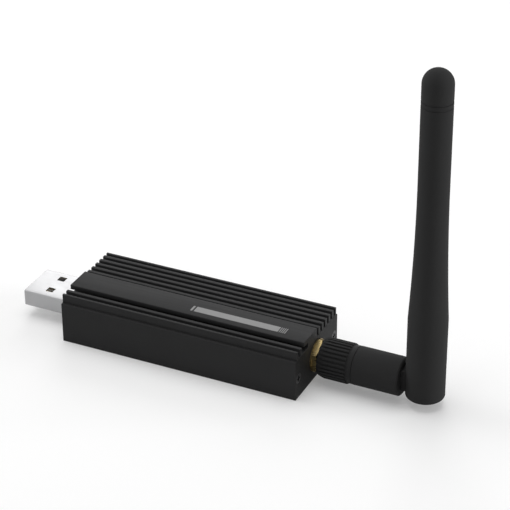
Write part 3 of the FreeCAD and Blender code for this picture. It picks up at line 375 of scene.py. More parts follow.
class Finishes:
    """Every finish of the stick, built once."""

    cover = BlastedFinish("cover_black")
    tray = BlastedFinish("tray_black")
    # The end plates carry painted shade on their flat outer faces.
    plate = ShadedEndPlateFinish("plate_black")
    screw = MetalFinish("screw_black", (0.02, 0.02, 0.021), (0.045, 0.045, 0.047), 0.34, 0.48)
    board = MouldedFinish("board_green", (0.006, 0.045, 0.02), (0.01, 0.07, 0.03), 0.25, 0.35, 0.5)
    plug = MetalFinish("plug_steel", (0.345, 0.345, 0.35), (0.385, 0.385, 0.39), 0.3, 0.4)
    insert = MouldedFinish("plug_plastic", (0.6, 0.6, 0.59), (0.66, 0.66, 0.65), 0.35, 0.45)
    gold = MetalFinish("contact_gold", (0.78, 0.56, 0.22), (0.9, 0.68, 0.32), 0.15, 0.28)
    brass = MetalFinish("jack_brass", (0.28, 0.215, 0.1), (0.36, 0.28, 0.135), 0.24, 0.36)
    core = MouldedFinish("core_white", (0.7, 0.7, 0.67), (0.8, 0.8, 0.77), 0.35, 0.45)
    grip = MouldedFinish("antenna_grip", (0.024, 0.024, 0.0242), (0.03, 0.03, 0.0302))
    antenna = MouldedFinish("antenna_black", smooth=0.6, coarse=0.7, level=0.02)
    lead = MouldedFinish("lead_brown", (0.1, 0.04, 0.015), (0.16, 0.07, 0.03), 0.3, 0.4)
    radiator = MetalFinish("radiator_brass", (0.6, 0.4, 0.16), (0.75, 0.54, 0.26))
    tin = MetalFinish("can_tin", (0.6, 0.6, 0.61), (0.75, 0.75, 0.76), 0.25, 0.4)
    chip = MouldedFinish("chip_black", (0.01, 0.01, 0.01), (0.02, 0.02, 0.02), 0.5, 0.6)
    light = MouldedFinish("light_clear", (0.75, 0.75, 0.68), (0.85, 0.85, 0.8), 0.15, 0.2)
    ceramic = MouldedFinish("ceramic_tan", (0.3, 0.2, 0.1), (0.42, 0.3, 0.17), 0.4, 0.5)
    ink = MouldedFinish("print_grey", (0.24, 0.24, 0.24), (0.32, 0.32, 0.32), 0.5, 0.65)

    def __init__(self) -> None:
        """Build the materials."""
        kinds = [value for value in vars(type(self)).values() if isinstance(value, Finish)]
        self.built = {finish.slot: finish.build() for finish in kinds}

    def of(self, finish: Finish) -> Material:
        """Give a finish's material."""
        return self.built[finish.slot]

    def dress_nodes(self) -> None:
        """Put each node's finish on it."""
        for part in frame["record"]["subparts"]:
            node = frame["nodes"][part["node"]]
            node.data.materials.clear()
            node.data.materials.append(self.built[part["material_slot"]])


class Maker:
    """Turns outlines into finished pieces.

    MERGE is a distance in metres, CRISP an angle in degrees, LONGEST_REACH the share of a side that a
    rounding may take, PAST how far in millimetres a cutter goes past what it cuts, and ROUND the angles of a
    circle.
    """

    MERGE = 0.000002
    CRISP = 32.0
    LONGEST_REACH = 0.49
    PAST = 1.0
    ROUND = range(0, 360, 12)

    def __init__(self, finishes: Finishes) -> None:
        """Keep the finishes that pieces are given."""
        self.finishes = finishes

    @staticmethod
    def stood(name: str, data: bpy.types.Mesh) -> Piece:
        """Put a mesh into the scene.

        Args:
            name: The piece's name.
            data: The mesh.

        Returns:
            The piece.
        """
        piece = bpy.data.objects.new(name, data)
        bpy.context.scene.collection.objects.link(piece)
        return piece

    def meshed(self, name: str, points: list[Point3], faces: list[Face], angle: float = CRISP) -> Piece:
        """Make a piece from points in millimetres.

        Args:
            name: The piece's name.
            points: Its corners.
            faces: The points of each face.
            angle: Edges sharper than this many degrees stay crisp.

        Returns:
            The tidied piece.
        """
        data = bpy.data.meshes.new(name)
        data.from_pydata([Vector(point) * MM for point in points], [], faces)
        return self.tidy(self.stood(name, data), angle)

    @classmethod
    def tidy(cls, piece: Piece, angle: float = CRISP) -> Piece:
        """Merge doubles, turn faces outwards and shade curved faces smooth.

        Args:
            piece: The piece to finish.
            angle: Edges sharper than this many degrees stay crisp.

        Returns:
            The same piece.
        """
        work = bmesh.new()
        work.from_mesh(piece.data)
        bmesh.ops.remove_doubles(work, verts=work.verts, dist=cls.MERGE)
        bmesh.ops.recalc_face_normals(work, faces=work.faces)
        for face in work.faces:
            face.smooth = True
        for edge in work.edges:
            edge.smooth = edge.calc_face_angle(0.0) < math.radians(angle)
        work.to_mesh(piece.data)
        work.free()
        return piece

    @classmethod
    def rounded(cls, corners: list[Corner], steps: int = 4, closed: bool = True) -> list[Point2]:
        """Round the corners of an outline.

        Args:
            corners: Points (x, y) or (x, y, radius).
            steps: Points that a rounded corner is divided into.
            closed: Whether the last point joins the first.

        Returns:
            The rounded outline.
        """
        result: list[Point2] = []
        count = len(corners)
        for index, corner in enumerate(corners):
            here = Vector(corner[:2])
            radius = corner[2] if len(corner) > 2 else 0.0
            if radius <= 0 or (not closed and index in (0, count - 1)):
                result.append((here.x, here.y))
                continue
            back = Vector(corners[index - 1][:2]) - here
            ahead = Vector(corners[(index + 1) % count][:2]) - here
            half = back.angle(ahead) / 2
            longest = [cls.LONGEST_REACH * side.length for side in (back, ahead)]
            reach = min(radius / math.tan(half), *longest)
            radius = reach * math.tan(half)
            start = here + back.normalized() * reach
            end = here + ahead.normalized() * reach
            middle = (back.normalized() + ahead.normalized()).normalized()
            centre = here + middle * (radius / math.sin(half))
            first = start - centre
            turn = first.angle_signed(end - centre)
            for step in range(steps + 1):
                spot = Matrix.Rotation(-turn * step / steps, 2) @ first + centre
                result.append((spot.x, spot.y))
        return result

    @staticmethod
    def arc(centre: Point2, radius: float, degrees: range) -> list[Point2]:
        """Give the points of a circle at some angles.

        Args:
            centre: Its middle.
            radius: Its radius.
            degrees: The angles, from the first direction towards the second.

        Returns:
            The points.
        """
        turns = [math.radians(angle) for angle in degrees]
        return [(centre[0] + radius * math.cos(turn), centre[1] + radius * math.sin(turn)) for turn in turns]

    @staticmethod
    def skin(rows: int, count: int, closed: bool) -> list[Face]:
        """List the faces that join rows of points.

        Args:
            rows: How many rows there are, each a closed loop.
            count: Points in a row.
            closed: Whether the last row joins the first.

        Returns:
            The faces, row by row.
        """
        faces = []
        for row in range(rows if closed else rows - 1):
            near, far = row * count, (row + 1) % rows * count
            for index in range(count):
                beside = (index + 1) % count
                faces.append((near + index, near + beside, far + beside, far + index))
        return faces

    def lofted(self, name: str, rows: list[list[Point3]], closed: bool = False,
               angle: float = CRISP) -> Piece:
        """Join rows of points into a piece.

        Args:
            name: The piece's name.
            rows: The rows, each a closed loop of as many points.
            closed: Whether the last row joins the first. Otherwise both ends are filled.
            angle: Edges sharper than this many degrees stay crisp.

        Returns:
            The piece.
        """
        count = len(rows[0])
        faces = self.skin(len(rows), count, closed)
        if not closed:
            faces += [tuple(range(count)), tuple(range((len(rows) - 1) * count, len(rows) * count))]
        return self.meshed(name, [point for row in rows for point in row], faces, angle)

    def extruded(self, name: str, outline: list[Point2], start: float, end: float,
                 axis: Axis = Axis.STICK) -> Piece:
        """Draw an outline straight out.

        Args:
            name: The piece's name.
            outline: Points across the axis.
            start: Where it begins.
            end: Where it ends.
            axis: The direction that it is drawn in.

        Returns:
            The drawn piece.
        """
        count = len(outline)
        points = [axis.point(place, *spot) for place in (start, end) for spot in outline]
        ends = [tuple(range(count))[::-1], tuple(range(count, 2 * count))]
        return self.meshed(name, points, self.skin(2, count, closed=False) + ends)

    def turned(self, name: str, outline: list[Point2], axis: Axis, centre: Point2, closed: bool = False,
               sides: int = 96) -> Piece:
        """Turn an outline round an axis.

        Args:
            name: The piece's name.
            outline: Points (place along the axis, radius).
            axis: The direction of the line it turns round.
            centre: Where that line passes, across its direction.
            closed: Whether the last point joins the first, as on a ring.
            sides: Points in a full turn.

        Returns:
            The turned piece.
        """
        turns = [2 * math.pi * side / sides for side in range(sides)]
        rows = [[axis.point(place, centre[0] + radius * math.cos(turn), centre[1] + radius * math.sin(turn))
                 for turn in turns] for place, radius in outline]
        return self.lofted(name, rows, closed)

    def slab(self, name: str, along: Point2, across: Point2, up: Point2) -> Piece:
        """Make a plain block from its spans in X, Y and Z."""
        section = [(across[0], up[0]), (across[1], up[0]), (across[1], up[1]), (across[0], up[1])]
        return self.extruded(name, section, *along)

    def joined(self, name: str, *pieces: Piece) -> Piece:
        """Gather several shells into one piece.

        Args:
            name: The piece's name.
            pieces: The shells, which are used up.

        Returns:
            The whole piece.
        """
        work = bmesh.new()
        for piece in pieces:
            work.from_mesh(piece.data)
            bpy.data.objects.remove(piece)
        data = bpy.data.meshes.new(name)
        work.to_mesh(data)
        work.free()
        return self.stood(name, data)

    def cut(self, piece: Piece, *tools: Piece) -> Piece:
        """Cut tools out of a piece.

        Args:
            piece: What is cut.
            tools: The cutters, which are used up.

        Returns:
            The same piece.
        """
        for tool in tools:
            knife = piece.modifiers.new("cut", "BOOLEAN")
            knife.operation, knife.solver, knife.object = "DIFFERENCE", "EXACT", tool
        self.settle(piece)
        for tool in tools:
            bpy.data.objects.remove(tool)
        return self.tidy(piece)

    @staticmethod
    def settle(piece: Piece) -> Piece:
        """Turn a piece's modifiers into plain mesh.

        Args:
            piece: The piece with its modifiers.

        Returns:
            The same piece.
        """
        graph = bpy.context.evaluated_depsgraph_get()
        data = bpy.data.meshes.new_from_object(piece.evaluated_get(graph))
        piece.modifiers.clear()
        piece.data = data
        return piece

    def place(self, piece: Piece, finish: Finish, body: str, *nodes: str) -> None:
        """Give a piece its finish, its body and the nodes it stands for.

        Args:
            piece: The finished mesh.
            finish: What it is made of.
            body: The body that it moves with.
            nodes: The nodes that it replaces.
        """
        piece.data.materials.clear()
        piece.data.materials.append(self.finishes.of(finish))
        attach(piece, body)
        if nodes:
            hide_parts(*nodes)
        log.info("%s: %d faces on %s", piece.name, len(piece.data.polygons), body)


class ShapeArray(Bench):
    """Geometry nodes that repeat a shape, with their sizes as named inputs."""

    SIZES: dict[str, str] = {}

    def __init__(self, name: str, material: Material) -> None:
        """Build the tree, which ends in real copies in their material.

        Args:
            name: The tree's name.
            material: What the copies are made of.
        """
        super().__init__(bpy.data.node_groups.new(name, "GeometryNodeTree"))
        sockets = self.tree.interface
        sockets.new_socket("Shape", in_out="INPUT", socket_type="NodeSocketGeometry")
        self.inputs = [sockets.new_socket(word, in_out="INPUT", socket_type=f"NodeSocket{kind}").identifier
                       for word, kind in self.SIZES.items()]
        sockets.new_socket("Copies", in_out="OUTPUT", socket_type="NodeSocketGeometry")
        self.source = self.add("NodeGroupInput")
        real = self.add("GeometryNodeRealizeInstances", Geometry=self.copies())
        dress = self.add("GeometryNodeSetMaterial", Geometry=real.outputs["Geometry"], Material=material)
        self.add("NodeGroupOutput", Copies=dress.outputs["Geometry"])

    def copies(self) -> Socket:
        """Set the copies."""
        raise NotImplementedError

    def given(self, name: str) -> Socket:
        """Give the socket of one of the tree's inputs."""
        return self.source.outputs[name]

    def lifted(self, shape: Socket, height: Socket) -> Socket:
        """Move a shape up.

        Args:
            shape: The shape's socket.
            height: How far it moves.

        Returns:
            The socket of the moved shape.
        """
        up = self.add("ShaderNodeCombineXYZ", Z=height)
        moved = self.add("GeometryNodeTransform", Geometry=shape, Translation=up.outputs[0])
        return moved.outputs["Geometry"]

    def copied(self, points: Socket, shape: Socket, turn: Socket | None = None) -> Socket:
        """Set a copy of a shape on each point."""
        copies = self.add("GeometryNodeInstanceOnPoints", Points=points, Instance=shape, Rotation=turn)
        return copies.outputs["Instances"]

    def apply(self, piece: Piece, *sizes: int | float | Point3) -> Piece:
        """Repeat a piece and turn the result into plain mesh.

        Args:
            piece: The first copy.
            sizes: Values of the inputs in their order, lengths in millimetres.

        Returns:
            The same piece with every copy in it.
        """
        array = piece.modifiers.new(self.tree.name, "NODES")
        array.node_group = self.tree
        for name, size in zip(self.inputs, sizes):
            if isinstance(size, tuple):
                array[name] = tuple(part * MM for part in size)
            else:
                array[name] = size if isinstance(size, int) else size * MM
        return Maker.settle(piece)


class RingArray(ShapeArray):
    """Geometry nodes that repeat a shape evenly round the stick's axis."""

    SIZES = {"Count": "Int", "Axis Height": "Float"}

    def copies(self) -> Socket:
        """Set copies of the shape, each turned on round the axis.

        Returns:
            Their socket.
        """
        line = self.add("GeometryNodeMeshLine", Count=self.given("Count"), Offset=(0.0, 0.0, 0.0))
        share = self.maths("DIVIDE", self.add("GeometryNodeInputIndex").outputs[0], self.given("Count"))
        turn = self.add("ShaderNodeCombineXYZ", X=self.maths("MULTIPLY", share, 2 * math.pi))
        down = self.maths("MULTIPLY", self.given("Axis Height"), -1.0)
        shape = self.lifted(self.given("Shape"), down)
        copies = self.copied(line.outputs["Mesh"], shape, turn.outputs[0])
        return self.lifted(copies, self.given("Axis Height"))


class RowArray(ShapeArray):
    """Geometry nodes that repeat a shape along a straight row."""

    SIZES = {"Count": "Int", "Step": "Vector"}

    def copies(self) -> Socket:
        """Set a copy of the shape on each point of a line."""
        line = self.add("GeometryNodeMeshLine", Count=self.given("Count"), Offset=self.given("Step"))
        return self.copied(line.outputs["Mesh"], self.given("Shape"))


class EndArray(ShapeArray):
    """Geometry nodes that set a screw at the four corners of the case, heads outwards."""

    SIZES = {"Length": "Float", "Spread": "Float", "Height": "Float"}

    def copies(self) -> Socket:
        """Set copies of the shape on a grid's corners, turned half round at the plug end.

        Returns:
            Their socket.
        """
        grid = self.add("GeometryNodeMeshGrid", Vertices_X=2, Vertices_Y=2, Size_X=self.given("Length"),
                        Size_Y=self.given("Spread"))
        spot = self.add("ShaderNodeSeparateXYZ", Vector=self.add("GeometryNodeInputPosition").outputs[0])
        at_plug = self.maths("LESS_THAN", spot.outputs["X"], 0.0)
        turn = self.add("ShaderNodeCombineXYZ", Z=self.maths("MULTIPLY", at_plug, math.pi))
        copies = self.copied(grid.outputs["Mesh"], self.given("Shape"), turn.outputs[0])
        return self.lifted(copies, self.given("Height"))


@dataclass
class Assembly:
    """Pieces that are built together."""

    maker: Maker

    def build(self) -> None:
        """Make every piece of the assembly."""
        raise NotImplementedError


@dataclass
class Case(Assembly):
    """Finned cover, tray, end plates and their screws, in millimetres."""

    half: float = 32.85
    plate: float = 1.2
    under: float = 31.6
    cover_half: float = 11.95
    tray_half: float = 12.75
    ledge: float = 11.1
    floor: float = 11.4
    fin_top: float = 13.4
    strip_top: float = 14.0
    roof: float = 12.75
    front_fin: float = 0.75
    second_fin: Point2 = (-10.05, -9.05)
    strip: Point2 = (-7.75, -0.05)
    undercut: float = -5.35
    pitch: float = 2.09
    gap: float = 1.05
    fins: int = 5
    rear_fin: float = 0.7
    edge: float = 0.13
    groove_edge: float = 0.08
    roof_edge: float = 0.1
    strip_edge: float = 0.2
    overlap: float = 0.15
    lip: Point2 = (10.25, 11.25)
    lip_foot: float = 8.75
    lid_under: float = 9.9
    key: Point3 = (11.65, 9.15, 9.95)
    wall: float = 11.35
    key_slot: Point3 = (11.85, 9.05, 10.05)
    channel: Point3 = (9.6, 3.3, 7.2)
    channel_edge: float = 0.2
    board_step: Point2 = (10.0, 1.6)
    tray_floor: float = 1.2
    foot_edge: float = 0.1
    ledge_edge: float = 0.35
    wall_edge: float = 0.05
    screw_y: float = 10.85
    screw_z: float = 5.45
    screw_head: float = 2.9
    screw_shank: float = 1.6
    screw_length: float = 6.0
    screw_rim: Point2 = (0.02, 0.07)
    rim_bevel: float = 0.05
    recess: Point3 = (0.42, 1.75, 0.55)
    sink_play: float = 0.05
    sink_land: float = 0.05
    thread_hole: float = 0.85
    jack_hole: float = 3.3
    axis: float = 6.05
    window: Span4 = (-6.2, 6.2, 3.0, 7.9)
    window_edge: float = 0.7
    cutter: Point2 = (30.0, 35.0)
    drill: float = 40.0
    above: Point2 = (0.2, 0.5)
    bar: Span4 = (1.55, 24.75, -5.85, -3.55)
    ink: Point2 = (0.01, 0.012)
    lead_stroke: Point2 = (1.0, 0.45)
    stroke: Point2 = (0.28, 0.5)
    stroke_step: float = 0.5
    strokes: int = 4

    def cover_outline(self) -> list[Corner]:
        """Outline the cover above the ledge, with the room where the field of fins stands.

        Returns:
            Points across the stick, some with a rounding.
        """
        half, top, floor, edge, inner = self.cover_half, self.fin_top, self.floor, self.edge, self.groove_edge
        front, rear = -half + self.front_fin, half - self.rear_fin
        first, last = self.second_fin
        left, right = self.strip
        return [
            (-half, self.ledge), (-half, top, edge), (front, top, edge), (front, floor, inner),
            (first, floor, inner), (first, top, edge), (last, top, edge), (last, floor, inner),
            (self.undercut, floor, inner), (self.undercut, self.roof, inner),
            (left, self.roof, self.roof_edge), (left, self.strip_top, self.strip_edge),
            (right, self.strip_top, self.strip_edge), (right, floor, inner),
            (rear, floor, inner), (rear, top, edge), (half, top, edge), (half, self.ledge),
        ]

    def under_outline(self) -> list[Point2]:
        """Outline the cover below the ledge: plate, lips and sliding keys.

        Returns:
            Points across the stick.
        """
        inner, outer = self.lip
        reach, low, high = self.key
        side = [(outer, self.floor - self.overlap), (outer, high), (reach, high), (reach, low), (outer, low),
                (outer, self.lip_foot), (inner, self.lip_foot), (inner, self.lid_under)]
        return side + [(-across, up) for across, up in reversed(side)]

    def tray_outline(self) -> list[Corner]:
        """Outline the tray's section: wall with the key's slot, screw channel and floor.

        Returns:
            Points across the stick, some with a rounding.
        """
        wall, edge = self.wall, self.channel_edge
        reach, slot_low, slot_high = self.key_slot
        inner, low, high = self.channel
        step, step_top = self.board_step
        side = [(self.tray_half, 0.0, self.foot_edge), (self.tray_half, self.ledge, self.ledge_edge),
                (wall, self.ledge, self.wall_edge), (wall, slot_high), (reach, slot_high), (reach, slot_low),
                (wall, slot_low), (wall, high), (inner, high, edge), (inner, low, edge), (wall, low),
                (wall, step_top), (step, step_top), (step, self.tray_floor)]
        return side + [(-corner[0], *corner[1:]) for corner in reversed(side)]

    def sink_tool(self, end: int, side: int) -> Piece:
        """Make the cutter of one countersunk hole.

        Args:
            end: 1 at the antenna end and -1 at the plug end.
            side: 1 on the rear side and -1 on the front side.

        Returns:
            The cutter.
        """
        head, shank = self.screw_head / 2 + self.sink_play, self.screw_shank / 2 + self.sink_play
        land = self.half - self.sink_land
        line = [(self.half + self.above[0], head), (land, head), (land - (head - shank), shank),
                (self.half - self.screw_length, shank)]
        placed = [(end * place, size) for place, size in line]
        centre = (side * self.screw_y, self.screw_z)
        return self.maker.turned(f"sink_{end}_{side}", placed, Axis.STICK, centre, sides=32)

    def build(self) -> None:
        """Make the case's pieces."""
        self.build_cover()
        self.build_tray()
        self.build_plate(-1, "plug_plate", "usb_end_plate")
        self.build_plate(1, "jack_plate", "antenna_end_plate")
        self.build_screws()
        self.build_print()

    def build_cover(self) -> None:
        """Make the finned cover: its section drawn out, its field of fins repeated on it."""
        maker, foot, top = self.maker, self.floor - self.overlap, self.fin_top
        outline = maker.rounded(self.cover_outline(), steps=3)
        upper = maker.extruded("cover_upper", outline, -self.half, self.half)
        under = maker.extruded("cover_under", self.under_outline(), -self.under, self.under)
        first = self.strip[1] + self.gap
        last = first + self.pitch - self.gap
        section = [(first, foot), (first, top, self.edge), (last, top, self.edge), (last, foot)]
        fin = maker.extruded("cover_fin", maker.rounded(section, steps=3), -self.half, self.half)
        row = RowArray("fin_row", maker.finishes.of(Finishes.cover))
        row.apply(fin, self.fins, (0.0, self.pitch, 0.0))
        maker.place(maker.joined("cover_shell", upper, under, fin), Finishes.cover, "stick", "finned_cover")

    def build_tray(self) -> None:
        """Make the tray with its two pairs of screw holes."""
        maker, inner, drills = self.maker, self.half - self.plate, []
        tray = maker.extruded("tray_shell", maker.rounded(self.tray_outline()), -inner, inner)
        hole = [(-self.drill, self.thread_hole), (self.drill, self.thread_hole)]
        for side in (-1, 1):
            centre = (side * self.screw_y, self.screw_z)
            drills.append(maker.turned(f"drill_{side}", hole, Axis.STICK, centre, sides=24))
        maker.place(maker.cut(tray, *drills), Finishes.tray, "stick", "case_tray")

    def build_plate(self, end: int, name: str, node: str) -> None:
        """Make one end plate.

        Args:
            end: 1 at the antenna end and -1 at the plug end.
            name: The piece's name.
            node: The node that it replaces.
        """
        maker, half = self.maker, self.tray_half
        corners = [(-half, 0, self.foot_edge), (half, 0, self.foot_edge), (half, self.ledge, self.ledge_edge),
                   (-half, self.ledge, self.ledge_edge)]
        span = sorted((end * (self.half - self.plate), end * self.half))
        plate = maker.extruded(name, maker.rounded(corners), *span)
        tools = [self.sink_tool(end, side) for side in (-1, 1)]
        near, far = self.cutter
        if end > 0:
            hole = [(near, self.jack_hole), (far, self.jack_hole)]
            tools.append(maker.turned("jack_drill", hole, Axis.STICK, (0, self.axis), sides=64))
        else:
            left, right, low, high = self.window
            spots = ((left, low), (right, low), (right, high), (left, high))
            window = maker.rounded([(*spot, self.window_edge) for spot in spots])
            tools.append(maker.extruded("window_tool", window, -far, -near))
        maker.place(maker.cut(plate, *tools), Finishes.plate, "stick", node)

    def build_screws(self) -> None:
        """Make one screw with its cross recess and set it at the case's four corners."""
        maker, head, shank = self.maker, self.screw_head / 2, self.screw_shank / 2
        face, rim = self.screw_rim
        line = [(-face, head - self.rim_bevel), (-rim, head), (-rim - (head - shank), shank),
                (-self.screw_length, shank)]
        screw = maker.turned("plate_screws", line, Axis.STICK, (0.0, 0.0), sides=32)
        width, span, depth = self.recess
        along, narrow, wide = (-depth, self.above[1]), (-width / 2, width / 2), (-span / 2, span / 2)
        tools = [maker.slab("recess_tool", along, *spans) for spans in ((narrow, wide), (wide, narrow))]
        maker.cut(screw, *tools)
        array = EndArray("corner_screws", maker.finishes.of(Finishes.screw))
        array.apply(screw, 2 * self.half, 2 * self.screw_y, self.screw_z)
        maker.place(screw, Finishes.screw, "stick", "case_screws")

    def build_print(self) -> None:
        """Lay a plain pale bar with short strokes beside its ends on the flat strip."""
        maker, (left, right, front, rear) = self.maker, self.bar
        across, up = (front, rear), (self.strip_top - self.ink[0], self.strip_top + self.ink[1])
        bar = maker.slab("print_bar", (left, right), across, up)
        lead = maker.slab("print_lead", (left - self.lead_stroke[0], left - self.lead_stroke[1]), across, up)
        stroke = maker.slab("print_stroke", (right + self.stroke[0], right + self.stroke[1]), across, up)
        row = RowArray("stroke_row", maker.finishes.of(Finishes.ink))
        row.apply(stroke, self.strokes, (self.stroke_step, 0.0, 0.0))
        maker.place(maker.joined("strip_print", bar, lead, stroke), Finishes.ink, "stick")


@dataclass
class Plug(Assembly):
    """Steel plug shell with its windows, in millimetres."""

    tip: float = -48.1
    rear: float = -29.1
    half: float = 6.0
    low: float = 3.2
    high: float = 7.7
    sheet: float = 0.3
    corner: float = 0.4
    least_corner: float = 0.1
    inner_roll: Point2 = (0.12, 0.08)
    outer_roll: Point2 = (0.16, 0.12)
    window: float = 2.05
    window_start: float = 5.28
    window_side: float = 3.0
    leg: Point2 = (-30.6, -29.4)
    leg_up: Point2 = (1.35, 4.2)
    leg_edge: float = 0.08

    def ring(self, place: float, inset: float) -> list[Point3]:
        """Give the points of the shell's section.

        Args:
            place: Where it stands along the stick.
            inset: How far it is moved inwards.

        Returns:
            The section's points.
        """
        half, low, high = self.half - inset, self.low + inset, self.high - inset
        radius = max(self.corner - inset, self.least_corner)
        corners = [(*spot, radius) for spot in ((-half, low), (half, low), (half, high), (-half, high))]
        return [(place, *spot) for spot in self.maker.rounded(corners, steps=5)]

    def window_tool(self, side: int) -> Piece:
        """Make the cutter of two windows, one above and one below.

        Args:
            side: 1 on the rear side and -1 on the front side.

        Returns:
            The cutter.
        """
        start, middle, half = self.tip + self.window_start, side * self.window_side, self.window / 2
        end, near, far = start + self.window, middle - half, middle + half
        square = [(start, near), (end, near), (end, far), (start, far)]
        low, high = self.low - Maker.PAST, self.high + Maker.PAST
        return self.maker.extruded(f"window_{side}", square, low, high, Axis.ROD)

    def leg_piece(self, side: int) -> Piece:
        """Make one solder leg.

        Args:
            side: 1 on the rear side and -1 on the front side.

        Returns:
            The leg.
        """
        inner, outer = sorted((side * (self.half - self.sheet), side * self.half))
        foot, top = self.leg_up
        corners = [(inner, foot, self.leg_edge), (outer, foot, self.leg_edge), (outer, top), (inner, top)]
        return self.maker.extruded(f"leg_{side}", self.maker.rounded(corners, steps=2), *self.leg)

    def build(self) -> None:
        """Make the shell: a rolled tip, four windows and two legs."""
        sheet, inner, outer = self.sheet, self.inner_roll, self.outer_roll
        rings = [(self.rear, sheet), (self.tip + inner[0], sheet), (self.tip, sheet - inner[1]),
                 (self.tip, outer[1]), (self.tip + outer[0], 0.0), (self.rear, 0.0)]
        shell = self.maker.lofted("plug_shell", [self.ring(*ring) for ring in rings], closed=True)
        self.maker.cut(shell, *[self.window_tool(side) for side in (-1, 1)])
        legs = [self.leg_piece(side) for side in (-1, 1)]
        whole = self.maker.joined("plug_steel_shell", shell, *legs)
        self.maker.place(whole, Finishes.plug, "stick", "usb_shell")


@dataclass
class Jack(Assembly):
    """Jack nut and its washer, in millimetres."""

    axis: float = 6.05
    thread: float = 3.225
    washer: Point3 = (32.85, 33.25, 4.3)
    washer_play: float = 0.3
    tooth: Point2 = (0.4, 0.5)
    tooth_height: float = 0.4
    tooth_edge: float = 0.1
    tooth_inset: float = 0.06
    nut: Point2 = (33.25, 34.65)
    across: float = 8.0
    bevel: tuple[Point2, ...] = ((0.2, 3.0), (0.2, -0.4), (-0.02, -0.02), (-1.2, 2.2), (-1.2, 3.0))
    teeth: int = 12

    def build(self) -> None:
        """Make the washer and the nut."""
        self.build_washer()
        self.build_nut()

    def build_washer(self) -> None:
        """Make the washer with its teeth."""
        maker, (start, end, radius) = self.maker, self.washer
        hole = self.thread + self.washer_play
        line = [(start, hole), (start, radius), (end, radius), (end, hole)]
        ring = maker.turned("washer_ring", line, Axis.STICK, (0.0, self.axis), closed=True)
        foot = self.axis + self.thread
        narrow, wide = self.tooth
        corners = [(-narrow, foot, self.tooth_edge), (narrow, foot, self.tooth_edge),
                   (wide, foot + self.tooth_height), (-wide, foot + self.tooth_height)]
        tooth = maker.extruded("washer_tooth", maker.rounded(corners, steps=2), start + self.tooth_inset,
                               end - self.tooth_inset)
        array = RingArray("washer_teeth", maker.finishes.of(Finishes.brass))
        array.apply(tooth, self.teeth, self.axis)
        maker.place(maker.joined("toothed_washer", ring, tooth), Finishes.brass, "stick", "lock_washer")

    def build_nut(self) -> None:
        """Make the nut with its bevelled corners."""
        maker, centre, (low, high) = self.maker, (0.0, self.axis), self.nut
        corners = maker.arc(centre, self.across / math.sqrt(3), range(90, -270, -60))
        nut = maker.extruded("hex_nut", corners, low, high)
        bevel = [(high + place, self.across / 2 + size) for place, size in self.bevel]
        cone = maker.turned("nut_cone", bevel, Axis.STICK, centre, closed=True)
        hole = [(low - maker.PAST, self.thread), (high + maker.PAST, self.thread)]
        bore = maker.turned("nut_bore", hole, Axis.STICK, centre, sides=64)
        maker.place(maker.cut(nut, cone, bore), Finishes.brass, "stick", "jack_nut")


@dataclass
class Coupling(Assembly):
    """Ribbed coupling nut of the antenna, in millimetres."""

    axis: float = 6.05
    start: float = 34.72
    front: float = 4.78
    cone_end: float = 36.25
    rib_end: float = 42.45
    neck_end: float = 42.85
    neck_drop: float = 0.02
    end: float = 43.94
    top: float = 5.22
    depth: float = 0.36
    collar: float = 4.92
    collar_edges: Point2 = (0.06, 0.03)
    cone_edges: Point2 = (0.4, 0.2)
    bore: float = 4.03
    back_wall: float = 42.45
    back_hole: float = 2.5
    ribs: int = 30
    rib_half: float = 0.31
    rib_foot: Point2 = (0.04, 0.15)
    rib_shape: tuple[Point2, ...] = ((1.0, 0.0), (0.95, 0.55), (0.72, 0.92), (0.3, 1.0))
    rise_at_root: tuple[Point2, ...] = ((-0.1, 0.0), (0.1, 0.25))
    rise_at_cone: tuple[Point2, ...] = ((-0.06, 0.94), (0.08, 1.0))
    rise_at_end: tuple[Point2, ...] = ((-0.08, 1.0), (0.0, 0.8))

    def build(self) -> None:
        """Make the nut's core and its ribs."""
        maker, root = self.maker, self.top - self.depth
        slope = (self.cone_end - self.start) / (self.top - self.front)
        root_start = self.start + (root - self.front) * slope
        rear, fore = self.collar_edges
        waist, nose = self.cone_edges
        line = maker.rounded([
            (self.start, self.bore), (self.back_wall, self.bore), (self.back_wall, self.back_hole),
            (self.end, self.back_hole), (self.end, self.collar, rear), (self.neck_end, self.collar, fore),
            (self.neck_end, root - self.neck_drop), (root_start, root, waist), (self.start, self.front, nose),
        ])
        core = maker.turned("nut_core", line, Axis.STICK, (0, self.axis), closed=True, sides=120)
        rib = self.rib(root, root_start)
        RingArray("grip_ribs", maker.finishes.of(Finishes.grip)).apply(rib, self.ribs, self.axis)
        maker.place(maker.joined("coupling_grip", core, rib), Finishes.grip, "coupling", "coupling_nut")

    def rib(self, root: float, root_start: float) -> Piece:
        """Make one rounded rib on top of the nut, its front end sloping with the cone.

        Args:
            root: Radius of the core between the ribs.
            root_start: Where the core's cone reaches that radius.

        Returns:
            The rib.
        """
        section = [*self.rib_shape, *[(-across, rise) for across, rise in reversed(self.rib_shape)]]
        overlap, sunk = self.rib_foot
        foot = self.axis + root - overlap
        rows = []
        for base, rises in ((root_start, self.rise_at_root), (self.cone_end, self.rise_at_cone),
                            (self.rib_end, self.rise_at_end)):
            for shift, share in rises:
                place, height = base + shift, (self.depth + overlap) * share
                row = [(place, self.rib_half * across, foot + height * rise) for across, rise in section]
                rows.append(row + [(place, -self.rib_half, foot - sunk), (place, self.rib_half, foot - sunk)])
        return self.maker.lofted("grip_rib", rows, angle=50.0)


